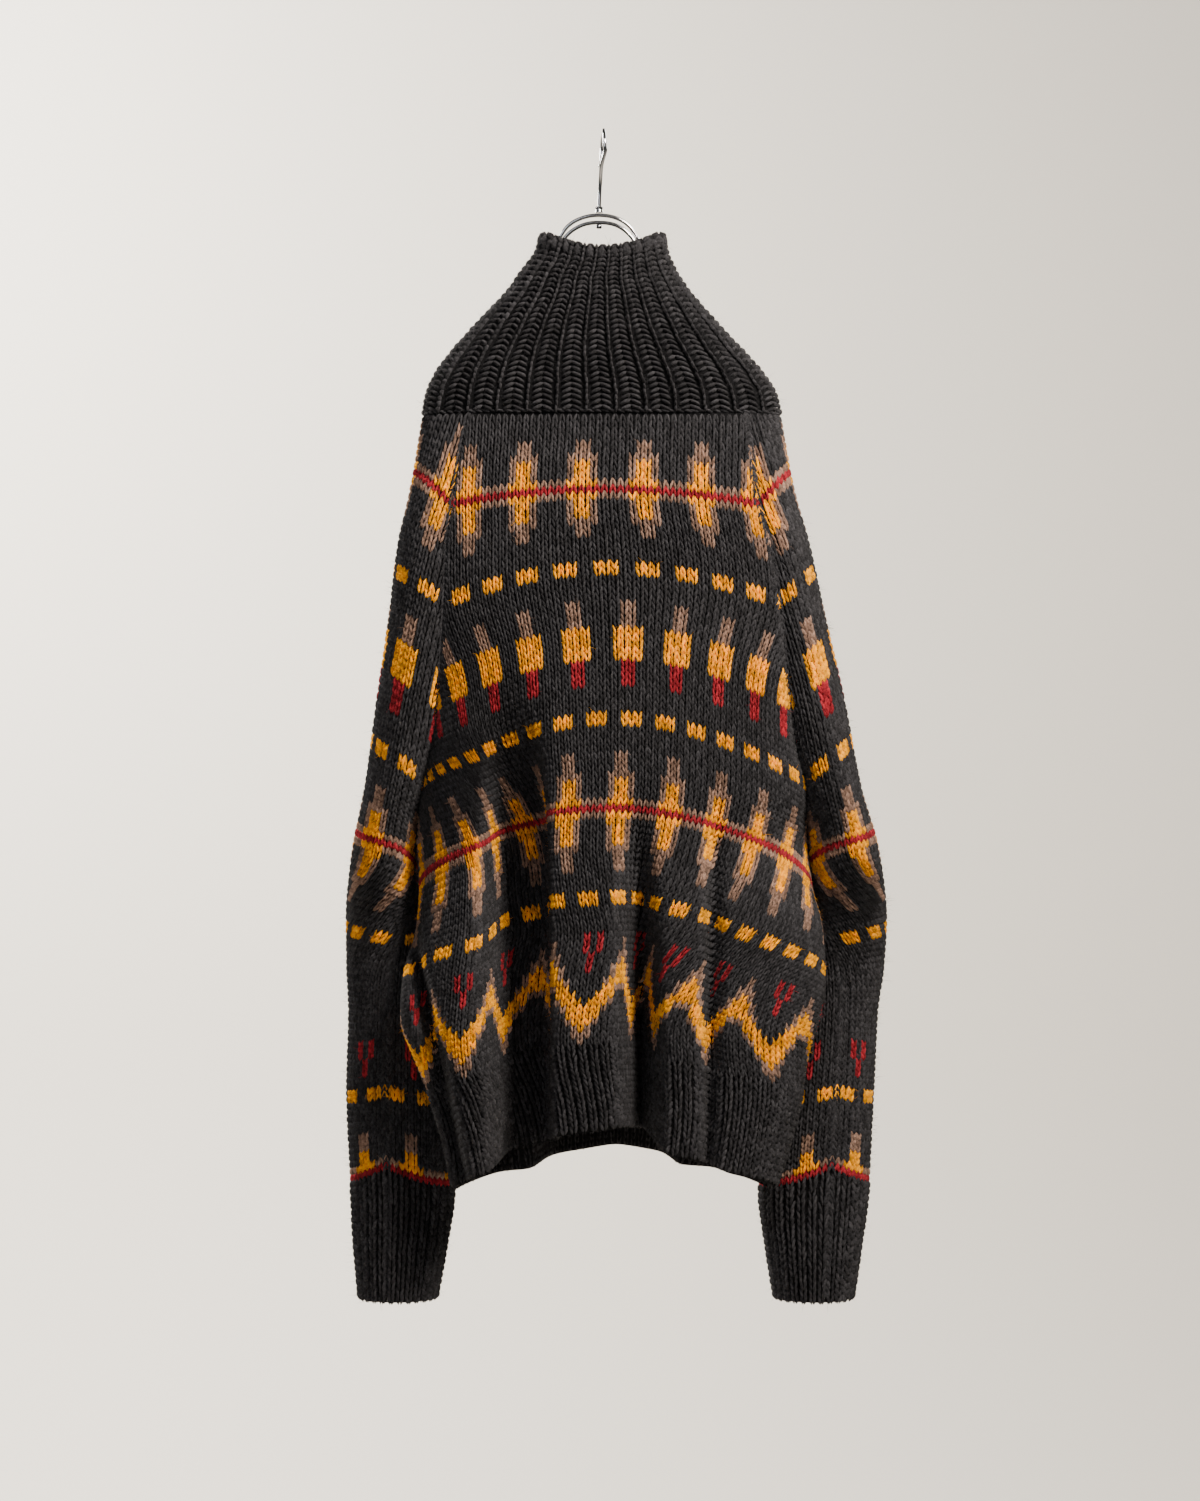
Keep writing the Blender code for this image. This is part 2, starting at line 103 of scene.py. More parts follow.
# The sleeves: outer edge, inner edge, half their depth, how far their middle lies towards the
# front, half the arc that their cloth covers, and how far the underarm seam has turned to the back.
SLEEVES = {
    "height": (-272, -339, -397, -461, -542, -631, -687, -761, -804, -846, -924, -1026, -1075, -1126),
    "left_out": (-172, -183, -196, -204, -216, -229, -241, -250, -250, -248, -250, -245, -242, -237),
    "right_out": (169, 181, 197, 211, 230, 248, 265, 276, 274, 268, 264, 258, 251, 243),
    "left_in": (-128, -140, -147, -150, -155, -171, -181.5, -170, -160, -153, -146, -147, -154, -163),
    "right_in": (136, 144, 157, 168, 176, 192, 197.5, 189, 182, 175, 162, 154, 160, 168),
    "half_depth": (28, 40, 47, 52, 55, 54, 50, 48, 46, 46, 45, 41, 38, 33),
    "middle": (0, 0, 1, 3, 7, 16, 26, 54, 58, 58, 57, 54, 50, 46),
    "half_arc": (90, 96, 101, 108, 119, 142, 179.9, 179.9, 179.9, 179.9, 179.9, 179.9, 179.9, 179.9),
    "seam_turn": (0, 0, 0, 0, 0, 0, 0, 60, 90, 100, 104, 104, 104, 104),
}

# How far the body bulges to the back and to the front, between its folds.
BODY = {
    "height": (-272, -353, -461, -560, -689, -804, -924, -1021),
    "back": (33, 47, 57, 66, 76, 84, 88, 90),
    "front": (33, 47, 56, 62, 66, 68, 70, 72),
}

# Folds: where each lies at its top and at the hem, the height at which it starts
# and the one at which it is deepest, how deep and half how wide it is there, and how far its floor
# slides sideways under the cloth beside it.
BACK_FOLDS = (
    # top_x, hem_x, starts, fullest, depth, half_width, slide
    (-98, -82, -500, -740, 72, 20, -3),
    (-74, -64, -540, -700, 40, 12, 18),
    (30, 36, -610, -860, 74, 15, 2),
    (118, 100, -600, -790, 20, 9, -4),
    (-288, -130, -700, -830, 26, 9, 3),
    (-150, -134, -720, -900, -7, 24, 0),
)
FRONT_FOLDS = (
    # top_x, hem_x, starts, fullest, depth, half_width, slide
    (-70, -78, -540, -900, 34, 17, 3),
    (8, 14, -480, -900, -12, 26, 0),
    (74, 84, -560, -900, 38, 16, -4),
)

# The rows of knitting: the height of a row at the middle of a piece, how far it hangs lower at the
# side edges of the back and the front, and the power that shapes its curve.
BODY_ROWS = {
    "height": (-272, -346, -422, -492, -562, -646, -730, -868, -945, -982),
    "back_drop": (0, 14, 32, 46, 66, 80, 78, 54, 67, 67),
    "front_drop": (0, 12, 30, 42, 58, 62, 50, 36, 32, 30),
    "power": (2, 2, 2, 2, 2, 1.9, 1.8, 1.5, 1.3, 1.3),
}

# The same for the sleeves: how far a row hangs lower at the raglan seams, or lies higher at the
# underarm seam lower down.
SLEEVE_ROWS = {
    "height": (-272, -320, -426, -500, -583, -671, -763, -860, -950, -1020, -1060, -1126),
    "drop": (0, 34, 32, 46, 44, 36, 14, -8, -14, -24, -12, 0),
    "power": (2, 2, 2, 2, 2, 2, 2, 3, 3, 3, 3, 3),
}

# ---------------------------------------------------------------- the knitting

# Which height, at a piece's middle, each counted row lies at. Row 0 is the red one of the top band.
BODY_COUNT = {
    "row": (-12, 0, 12.5, 24, 35.5, 49, 62.5, 68, 85, 101),
    "height": (-272, -345.9, -420.8, -491.8, -562.4, -646.4, -729.9, -764.4, -868, -951),
}
SLEEVE_COUNT = {
    "row": (-8.5, 0, 12.5, 24, 35.5, 49, 62.5, 81, 89.5, 102.5, 119.5),
    "height": (-272, -326, -421, -492, -584, -671, -763, -883, -934, -1020, -1127),
}

# The same for the front's hem rib.
FRONT_HEM_COUNT = {"row": (85, 100), "height": (-888, -984)}

# How wide a stitch is along its row, by height.
BODY_GAUGE = {
    "height": (-272, -346, -421, -492, -562, -646, -730, -868),
    "stitch": (7.3, 7.5, 8.1, 7.2, 6.7, 6.15, 6.25, 6.25),
    "squeeze": (0.004, 0.005, 0.007, 0.008, 0.006, 0.002, 0, 0),
}
SLEEVE_GAUGE = {
    "height": (-272, -326, -500, -671, -900, -1020),
    "stitch": (7.2, 7.4, 6.8, 6.5, 6.4, 6.2),
    "squeeze": (0, 0, 0, 0, 0, 0),
    "round": 24,
}
# Between these heights a sleeve's stitches change from their own width to an even count round it.
ROUND_STARTS, ROUND_FULL = -700.0, -820.0
COLLAR_RIBS = 26
COLLAR_ROW = 5.3
# The width of a stitch at which its legs are as wide as their table says.
USUAL_STITCH = 6.5

# Yarns, in the order of their numbers.
YARNS = ".ytr"

DIAMOND = (
    "...tt...",
    "...tt...",
    "..tttt..",
    "..tyyt..",
    "..tyyt..",
    "..tyyt..",
    "ttyyyytt",
    "rrrrrrrr",
    "ttyyyytt",
    "..tyyt..",
    "..tyyt..",
    "..tyyt..",
    "..tttt..",
    "...tt...",
    "...tt...",
)
LONG_DIAMOND = ("...tt...",) + DIAMOND[:9] + ("..yyyt..",) + DIAMOND[9:] + ("...tt...",)
HALF_DIAMOND = ("...tt...", "...tt...", "...tt...", "...yy...", "...yy...", "ttyyyytt", "rrrrrrrr")
DASH = ("yyy..", "yyy..")
TORCH = ("...tt..",) * 4 + ("..yyyy.",) * 5 + ("...rr..",) * 4

# The zigzag by columns, from a peak to a trough, each from its top down.
ZIGZAG_COLUMNS = (
    ".tttyyyyt........",
    "...ttyyyt........",
    ".....ttyyyt......",
    ".......tyyyt.....",
    ".........yyyyt...",
    "rrr.......yyyytt.",
    "...rrr.....yyyytt",
)
ZIGZAG = tuple("".join(rows) for rows in zip(*(ZIGZAG_COLUMNS + ZIGZAG_COLUMNS[-2:0:-1])))
MARKS = ("..r.r...",) * 3 + ("...r....",) * 3

# Bands of pattern: the first row, the column at which the chart starts, and the chart.
BODY_BANDS = (
    (-7, -7, DIAMOND),
    (12, -2, DASH),
    (18, -2, TORCH),
    (35, -4, DASH),
    (41, -3, LONG_DIAMOND),
    (62, -1, DASH),
    (68, -11, ZIGZAG),
)
SLEEVE_BANDS = (
    (-7, -4, DIAMOND),
    (12, -1, DASH),
    (18, -5, TORCH),
    (35, -3, DASH),
    (41, -4, LONG_DIAMOND),
    (62, -1, DASH),
    (81, -24, MARKS),
    (89, -24, DASH),
    (96, -24, HALF_DIAMOND),
)

# The legs of a stitch, in columns and rows from its middle: where each starts above and ends below
# with its height over the cloth there, then its width and thickness, all in millimetres but the
# columns and rows. A leg's lower end lies over the stitch below it, and its upper end tucks under.
PLAIN_LEGS = (
    # column_a, row_a, lift_a, column_b, row_b, lift_b, width, thick
    (-0.46, -0.86, -2.6, -0.15, 0.66, 0.4, 2.8, 3.0),
    (0.46, -0.86, -2.6, 0.15, 0.66, 0.4, 2.8, 3.0),
)
RIB_LEGS = (
    (-0.34, -0.86, -1.2, -0.11, 0.64, 1.5, 2.8, 3.0),
    (0.34, -0.86, -1.2, 0.11, 0.64, 1.5, 2.8, 3.0),
)
COLLAR_LEGS = (
    (0.0, -0.60, 0.6, -0.36, 0.30, -1.4, 3.7, 3.0),
    (0.0, -0.60, 0.6, 0.36, 0.30, -1.4, 3.7, 3.0),
    (0.5, -0.66, 1.1, 0.5, 0.66, 1.1, 2.8, 3.2),
)
RIM_LEGS = (
    (0.0, -0.35, -2.8, 0.0, 2.1, 1.8, 9.0, 6.0),
    (0.5, -0.2, -2.6, 0.5, 1.6, 0.8, 3.6, 3.6),
)
CHAIN_LEGS = (
    (-0.55, -0.3, -1.0, 0.55, 0.4, -0.4, 2.8, 2.0),
)

# The slanted legs along a seam: the step between them, how far each reaches up and down, how deep its
# top is sunk, how far in and how proud its lower end lies, its width, its stretch and its thickness.
SEAM_STEP = 6.2
SEAM_REACH = 4.6
SEAM_SUNK = 1.4
SEAM_IN = 3.4
SEAM_PROUD = 0.3
SEAM_WIDTH = 3.6
SEAM_STRETCH = 1.15
SEAM_THICK = 2.8

# The walls behind the stitches: faces across and down, how far out the wall lies, and its thickness.
PLAIN_WALL = (84, 60, -2.6, 1.3)
RIBBED_WALL = (100, 12, -2.2, 1.2)
# The collar's wall: points round it and down it, and how far out its two sides lie.
COLLAR_ROUND, COLLAR_DOWN = 130, 32
COLLAR_WALL = (-1.6, -3.4)

# The hanger's shoulder wires, from left to right.
SHOULDER_WIRE = (
    # x, height of the outer wire, height of the inner wire
    (-152, -263, -268),
    (-148, -247, -252),
    (-141, -232, -238),
    (-128, -213, -219),
    (-112, -195, -201),
    (-93, -175, -181),
    (-75, -153, -160),
    (-58, -128, -136),
    (-44, -105, -113),
    (-34, -90, -98),
    (-20, -82, -89),
    (-4, -79.5, -86.5),
    (12, -82, -89),
    (25, -90, -98),
    (35, -105, -113),
    (49, -128, -136),
    (65, -153, -160),
    (83, -175, -181),
    (102, -195, -201),
    (119, -213, -219),
    (136, -232, -238),
    (144, -247, -252),
    (148, -263, -268),
)
WIRES_APART = 9.0
HOOK_RADIUS = 17.5

# How many loose fibres stand off each piece.
FUZZ = {
    "back_panel": 9500,
    "front_panel": 8500,
    "hem_rib_back": 1200,
    "hem_rib_front": 1000,
    "sleeve_left": 6000,
    "sleeve_right": 6000,
    "cuff_left": 700,
    "cuff_right": 700,
    "collar": 4000,
}
# A loose fibre's width, its least and greatest length, and how much of it a coloured yarn has.
FIBRE_WIDTH = 0.15
FIBRE_LENGTHS = (5.0, 13.0)
COLOURED_FIBRE_SHARE = 0.55

HEIGHTS = np.arange(NECK_SEAM, LOWEST, -PROFILE_STEP)


def linear(hex_color):
    """An sRGB colour such as "3a3a38" as linear red, green and blue."""
    parts = [int(hex_color[i : i + 2], 16) / 255 for i in (0, 2, 4)]
    return tuple(c / 12.92 if c <= 0.04045 else ((c + 0.055) / 1.055) ** 2.4 for c in parts)


# ---------------------------------------------------------------- reading the hung cloth


def eased(height, table, column):
    """Reads a column of a table at any height, on a smooth curve that never overshoots its rows."""
    at = -np.asarray(table["height"], float)
    value = np.asarray(table[column], float)
    step = np.diff(at)
    slope = np.diff(value) / step
    tangent = np.concatenate([[slope[0]], np.zeros(len(slope) - 1), [slope[-1]]])
    same_way = slope[:-1] * slope[1:] > 0
    both = slope[:-1] + slope[1:]
    tangent[1:-1][same_way] = 2 * (slope[:-1] * slope[1:])[same_way] / both[same_way]
    where = np.clip(-np.asarray(height, float), at[0], at[-1])
    row = np.clip(np.searchsorted(at, where, side="right") - 1, 0, len(step) - 1)
    t = (where - at[row]) / step[row]
    low, high = value[row], value[row + 1]
    start = (1 - t) ** 2 * t * step[row] * tangent[row]
    end = (1 - t) * t**2 * step[row] * tangent[row + 1]
    return low + (high - low) * t * t * (3 - 2 * t) + start - end


def grown(height, starts, fullest):
    """0 above the height where a fold starts, 1 below the one where it is full, smooth between."""
    t = np.clip((starts - height) / (starts - fullest), 0, 1)
    return t * t * (3 - 2 * t)


def folded(x, y, rise, outward, height, folds):
    """Moves a profile's points in or out where folds run through it, but not at its seams."""
    base = x.copy()
    inside = grown(-rise, 0, -EDGE_RISE)
    for top_x, hem_x, starts, fullest, depth, half_width, slide in folds:
        full = grown(height, starts, fullest)
        down = np.clip((NECK_SEAM - height) / (NECK_SEAM - HEM_END), 0, 1)
        centre = top_x + (hem_x - top_x) * down
        bell = np.exp(-(((base - centre) / half_width) ** 2))
        y = y - outward * depth * full * bell * inside
        x = x + slide * full * bell * inside
    return x, y


def raglan_end(side, face, height):
    """Where the raglan seam or, under the arm, the side seam of the body lies at this height."""
    if height <= UNDERARM:
        return float(eased(height, SIDES, side)), float(eased(height, SIDES, "lean"))
    half_arc = math.radians(float(eased(height, SLEEVES, "half_arc")))
    depth = float(eased(height, SLEEVES, "half_depth")) * math.sin(half_arc)
    middle = float(eased(height, SLEEVES, "middle"))
    return float(eased(height, RAGLAN, side)), middle + face * depth


def body_profile(height, face):
    """A panel of the body from its left seam to its right one: face is -1 at the back, 1 in front."""
    left_x, left_y = raglan_end("left", face, height)
    right_x, right_y = raglan_end("right", face, height)
    bulge = float(eased(height, BODY, "back" if face < 0 else "front"))
    turn = np.linspace(-math.pi / 2, math.pi / 2, PROFILE_POINTS + 1)
    under = grown(height, WAIST_STARTS, WAIST_FULL)
    if face < 0:
        reach = 2 / (2.2 + 0.4 * under)
        rise = np.cos(turn) ** reach
    else:
        reach = 1.0
        rise = np.cos(turn) ** (1 + 0.75 * under)
    across = np.sign(np.sin(turn)) * np.abs(np.sin(turn)) ** reach
    x = (left_x + right_x) / 2 + (right_x - left_x) / 2 * across
    edge = left_y + (right_y - left_y) * (across + 1) / 2
    y = edge + (face * bulge - edge) * rise
    return folded(x, y, rise, face, height, BACK_FOLDS if face < 0 else FRONT_FOLDS)


def sleeve_profile(height, side):
    """A sleeve from its back seam, round its outer side, to its front seam."""
    out = float(eased(height, SLEEVES, side + "_out"))
    half_arc = math.radians(float(eased(height, SLEEVES, "half_arc")))
    half_depth = float(eased(height, SLEEVES, "half_depth"))
    middle = float(eased(height, SLEEVES, "middle"))
    inner = float(eased(height, SLEEVES, side + "_in"))
    if height > UNDERARM:
        inner = float(eased(height, RAGLAN, side))
    half_width = (inner - out) / (1 - math.cos(half_arc))
    centre = out + half_width
    turned = math.radians(float(eased(height, SLEEVES, "seam_turn")))
    angle = np.linspace(-half_arc, half_arc, PROFILE_POINTS + 1) + turned
    return centre - half_width * np.cos(angle), middle + half_depth * np.sin(angle)


def cloth(profile, outward):
    """Profiles at all heights, each resampled at equal steps of cloth from its middle outwards."""
    share = np.linspace(0, 1, PROFILE_POINTS // 2 + 1)
    found = {"x": [], "y": [], "nx": [], "ny": [], "half": []}
    for height in HEIGHTS:
        x, y = profile(height)
        run = np.concatenate([[0], np.cumsum(np.hypot(np.diff(x), np.diff(y)))])
        middle = run[PROFILE_POINTS // 2]
        at = np.concatenate([middle * share[:-1], middle + (run[-1] - middle) * share])
        x, y = np.interp(at, run, x), np.interp(at, run, y)
        dx, dy = np.gradient(x), np.gradient(y)
        length = np.hypot(dx, dy) * outward
        found["x"].append(x)
        found["y"].append(y)
        found["nx"].append(dy / length)
        found["ny"].append(-dx / length)
        found["half"].append((middle, run[-1] - middle))
    return {name: np.array(rows) for name, rows in found.items()}


def share_edge(one, one_end, other, other_end, heights):
    """Gives two cloths that meet at a seam the same direction there, so their edges are parallel."""
    nx = one["nx"][heights, one_end] + other["nx"][heights, other_end]
    ny = one["ny"][heights, one_end] + other["ny"][heights, other_end]
    length = np.hypot(nx, ny)
    for sheet, end in ((one, one_end), (other, other_end)):
        for column in (end, 1 if end == 0 else -2):
            sheet["nx"][heights, column] = nx / length
            sheet["ny"][heights, column] = ny / length


def read(sheet, name, height, share):
    """A value of the cloth at a height and at a share of the way from its middle to its edge."""
    row = np.clip((HEIGHTS[0] - height) / PROFILE_STEP, 0, len(HEIGHTS) - 1.001)
    column = np.clip((share + 1) / 2 * PROFILE_POINTS, 0, PROFILE_POINTS - 1e-6)
    r, c = row.astype(int), column.astype(int)
    fr, fc = row - r, column - c
    grid = sheet[name]
    upper = grid[r, c] * (1 - fc) + grid[r, c + 1] * fc
    lower = grid[r + 1, c] * (1 - fc) + grid[r + 1, c + 1] * fc
    return upper * (1 - fr) + lower * fr


def place(sheet, height, share, out=0.0):
    """Points of the cloth, moved out of its surface by some millimetres."""
    x = read(sheet, "x", height, share) + out * read(sheet, "nx", height, share)
    y = read(sheet, "y", height, share) + out * read(sheet, "ny", height, share)
    return np.stack(np.broadcast_arrays(x, y, height), axis=-1)


def half_cloth(sheet, height, side):
    """The length of cloth from the middle of a piece to its left or right edge at a height."""
    left, right = (np.interp(-height, -HEIGHTS, sheet["half"][:, end]) for end in (0, 1))
    return np.where(side < 0, left, right)


def hung_cloths():
    """The hung cloth of the back, the front and both sleeves, with parallel edges at their seams."""
    back = cloth(lambda height: body_profile(height, -1), 1)
    front = cloth(lambda height: body_profile(height, 1), -1)
    left = cloth(lambda height: sleeve_profile(height, "left"), -1)
    right = cloth(lambda height: sleeve_profile(height, "right"), 1)
    above, below = HEIGHTS > UNDERARM, HEIGHTS <= UNDERARM
    share_edge(back, 0, left, 0, above)
    share_edge(back, -1, right, 0, above)
    share_edge(front, 0, left, -1, above)
    share_edge(front, -1, right, -1, above)
    share_edge(back, 0, front, 0, below)
    share_edge(back, -1, front, -1, below)
    return {"back": back, "front": front, "left": left, "right": right}


def hung(rows, table, drop, columns):
    """Heights of a grid of points: rows of knitting, each from its height at the piece's seams."""
    middles = np.arange(NECK_SEAM, LOWEST, -1.0)
    at_seams = middles - eased(middles, table, drop)
    middle = np.interp(-rows, -at_seams, middles)[:, None]
    power = eased(middle, table, "power")
    return middle - eased(middle, table, drop) * np.abs(columns[None, :]) ** power


def on_cloth(sheet, table, drop, count, gauge):
    """Returns the function that finds a counted row and column of stitches on a piece's cloth.

    A gauge is a table of widths, or for ribbing the number of ribs from the middle to each edge.
    """

    def surface(row, column, out):
        middle = np.interp(row, count["row"], count["height"])
        lower, power = eased(middle, table, drop), eased(middle, table, "power")
        if not isinstance(gauge, dict):
            share = column / gauge
            height = middle - lower * np.minimum(np.abs(share), 1) ** power
            return place(sheet, height, np.clip(share, -1, 1), out), share, height
        squeezed = 1 - eased(middle, gauge, "squeeze") * np.minimum(np.abs(column), 50)
        along = column * eased(middle, gauge, "stitch") * squeezed
        share = along / half_cloth(sheet, middle, along)
        for _ in range(4):
            height = middle - lower * np.minimum(np.abs(share), 1) ** power
            share = along / half_cloth(sheet, height, along)
        if "round" in gauge:
            even = grown(middle, ROUND_STARTS, ROUND_FULL)
            share = share * (1 - even) + column / gauge["round"] * even
            height = middle - lower * np.minimum(np.abs(share), 1) ** power
        return place(sheet, height, np.clip(share, -1, 1), out), share, height

    return surface


def collar_run(height):
    """The collar's oval at one height as an even run of points, with its directions outwards."""
    angle = np.linspace(0, 2 * math.pi, 721)
    left, right = float(eased(height, COLLAR, "left")), float(eased(height, COLLAR, "right"))
    square = 2 / (2.2 + 0.8 * grown(height, -200, NECK_SEAM))
    across = np.sign(np.cos(angle)) * np.abs(np.cos(angle)) ** square
    deep = np.sign(np.sin(angle)) * np.abs(np.sin(angle)) ** square
    x = (left + right) / 2 + (right - left) / 2 * across
    y = float(eased(height, COLLAR, "bulge")) * deep
    run = np.concatenate([[0], np.cumsum(np.hypot(np.diff(x), np.diff(y)))])
    quarters = run[::180]
    share = np.linspace(0, 1, 181)[:-1]
    at = np.concatenate([low + (high - low) * share for low, high in zip(quarters, quarters[1:])])
    return np.interp(at, run, x), np.interp(at, run, y)


def collar_sheet():
    """The collar's ovals at all of its heights, which a share of a turn reads round each."""
    heights = np.arange(NECK_TOP, NECK_SEAM - 1.0, -2.0)
    runs = [collar_run(height) for height in heights]
    x, y = np.array([run[0] for run in runs]), np.array([run[1] for run in runs])
    dx = np.roll(x, -1, 1) - np.roll(x, 1, 1)
    dy = np.roll(y, -1, 1) - np.roll(y, 1, 1)
    length = np.hypot(dx, dy)
    return {"heights": heights, "x": x, "y": y, "nx": dy / length, "ny": -dx / length}


def collar_place(sheet, height, turn, out):
    """Points of the collar at a height and a share of a turn, dipped at the front and the back."""
    low = np.clip((height - NECK_SEAM) / (NECK_TOP - NECK_SEAM), 0, 1) ** 2
    count = sheet["x"].shape[1]
    row = np.clip((sheet["heights"][0] - height) / 2.0, 0, len(sheet["heights"]) - 1.001)
    column = (turn % 1.0) * count
    r, c = row.astype(int), column.astype(int) % count
    fr, fc = row - r, column - np.floor(column)
    found = []
    for name in ("x", "y", "nx", "ny"):
        grid = sheet[name]
        upper = grid[r, c] * (1 - fc) + grid[r, (c + 1) % count] * fc
        lower = grid[r + 1, c] * (1 - fc) + grid[r + 1, (c + 1) % count] * fc
        found.append(upper * (1 - fr) + lower * fr)
    x, y, nx, ny = found
    dip = NECK_DIP * low * np.abs(np.sin(2 * math.pi * turn)) ** 1.5
    return np.stack(np.broadcast_arrays(x + out * nx, y + out * ny, height - dip), axis=-1)


# ---------------------------------------------------------------- laying the stitches


def yarn_at(bands, row, column):
    """The number of the yarn that the charts give a stitch."""
    for first, start, chart in bands:
        if 0 <= row - first < len(chart):
            line = chart[row - first]
            return YARNS.index(line[(column - start) % len(line)])
    return 0


def stitch_grid(rows, columns, bands):
    """Rows, columns and yarns of all stitches in a range."""
    cells = [(r, c, yarn_at(bands, r, c)) for r in rows for c in columns]
    return np.array(cells, float).T


def lay_legs(surface, cells, legs, rng, jitter, lift=0.0, inside=False):
    """One point for each leg of each stitch, with its direction, normal, size, yarn and shade."""
    row, column, yarn = cells
    column = column + 0.5
    found = {"at": [], "along": [], "normal": [], "size": [], "yarn": [], "shade": []}
    middle, share, _ = surface(row, column, lift)
    side = -1 if inside else 1
    beside = surface(row, column + 0.3, lift)[0] - surface(row, column - 0.3, lift)[0]
    below = surface(row + 0.3, column, lift)[0] - surface(row - 0.3, column, lift)[0]
    outwards = surface(row, column, lift + side)[0] - middle
    normal = np.cross(beside, below)
    normal *= np.sign((normal * outwards).sum(1))[:, None]
    spread = np.linalg.norm(beside, axis=1) / 0.6
    for column_a, row_a, lift_a, column_b, row_b, lift_b, width, thick in legs:
        stray = rng.normal(0, jitter, (4, len(row)))
        top = surface(row + row_a + stray[0], column + column_a + stray[1], lift + side * lift_a)[0]
        end = surface(row + row_b + stray[2], column + column_b + stray[3], lift + side * lift_b)[0]
        along = end - top
        length = np.linalg.norm(along, axis=1)
        kept = (np.abs(share) < 1.0) & (length > 1.0) & (np.linalg.norm(normal, axis=1) > 1e-3)
        narrow = np.clip(spread / USUAL_STITCH, 0.4, 1.0) * rng.uniform(0.88, 1.1, len(row))
        found["at"].append(((top + end) / 2)[kept])
        found["along"].append((along / np.maximum(length, 1e-6)[:, None])[kept])
        found["normal"].append(normal[kept])
        size = np.stack([width * narrow, length * 1.1, thick * rng.uniform(0.88, 1.1, len(row))], axis=1)
        found["size"].append(size[kept])
        found["yarn"].append(yarn[kept])
        found["shade"].append(rng.uniform(0.0, 1.0, len(row))[kept])
    return {name: np.concatenate(parts) for name, parts in found.items()}


def lay_fuzz(surface, cells, amount, rng):
    """Loose fibres that stand off the yarn: a point for each, like those of the legs."""
    row, column, yarn = cells[:, rng.integers(0, cells.shape[1], amount)]
    row, column = row + rng.uniform(-0.5, 0.5, amount), column + rng.uniform(0, 1, amount)
    at, share, _ = surface(row, column, 1.2)
    below = surface(row + 0.3, column, 1.2)[0] - surface(row - 0.3, column, 1.2)[0]
    normal = surface(row, column, 2.2)[0] - at
    beside = np.cross(normal, below)
    beside /= np.maximum(np.linalg.norm(beside, axis=1), 1e-6)[:, None]
    below /= np.maximum(np.linalg.norm(below, axis=1), 1e-6)[:, None]
    turn = rng.uniform(0, 2 * math.pi, amount)[:, None]
    along = np.cos(turn) * beside + np.sin(turn) * below + rng.uniform(-0.1, 0.75, amount)[:, None] * normal
    length = rng.uniform(*FIBRE_LENGTHS, amount) * np.where(yarn > 0, COLOURED_FIBRE_SHARE, 1.0)
    size = np.stack([np.full(amount, FIBRE_WIDTH), length, length * rng.uniform(0.1, 0.45, amount)], axis=1)
    kept = np.abs(share) < 1.0
    found = {"at": at, "along": along, "normal": normal, "size": size, "yarn": yarn,
             "shade": rng.uniform(0.5, 1.0, amount)}
    return {name: values[kept] for name, values in found.items()}


def seam_legs(sheet, end, heights, rng):
    """A column of slanted legs along one edge of a piece, where it is sewn to the next one."""
    half = half_cloth(sheet, heights, np.full(len(heights), end))
    edge = np.full(len(heights), end)
    top = place(sheet, heights + SEAM_REACH, edge, -SEAM_SUNK)
    low = place(sheet, heights - SEAM_REACH, end * (1 - SEAM_IN / half), SEAM_PROUD)
    outwards = place(sheet, heights, edge, 1.0) - place(sheet, heights, edge)
    along = low - top
    length = np.linalg.norm(along, axis=1)
    size = np.stack([np.full(len(heights), SEAM_WIDTH), length * SEAM_STRETCH,
                     np.full(len(heights), SEAM_THICK)], axis=1)
    return {"at": (top + low) / 2, "along": along / length[:, None], "normal": outwards, "size": size,
            "yarn": np.zeros(len(heights)), "shade": rng.uniform(0, 1, len(heights))}


def sewn_edges(sheet, marks, rng):
    """The legs along both edges of a piece, between its heights at the seams."""
    heights = np.arange(marks[0] - 4, marks[1] + 4, -SEAM_STEP)
    return [seam_legs(sheet, end, heights, rng) for end in (-1, 1)]


def joined(*parts):
    return {name: np.concatenate([part[name] for part in parts]) for name in parts[0]}


# ---------------------------------------------------------------- nodes and materials


def add_node(tree, kind, inputs=(), **settings):
    """Adds a node with its settings, and gives each named or numbered input a value or a link."""
    made = tree.nodes.new(kind)
    for name, value in settings.items():
        setattr(made, name, value)
    for name, value in dict(inputs).items():
        if isinstance(value, bpy.types.NodeSocket):
            tree.links.new(value, made.inputs[name])
        else:
            made.inputs[name].default_value = value
    return made


def new_material(name, surface):
    """A material with the Principled shader's own settings, its node tree and that shader."""
    material = bpy.data.materials.new(name)
    material.use_nodes = True
    shader = material.node_tree.nodes["Principled BSDF"]
    for socket, value in surface.items():
        shader.inputs[socket].default_value = value
    return material, material.node_tree, shader


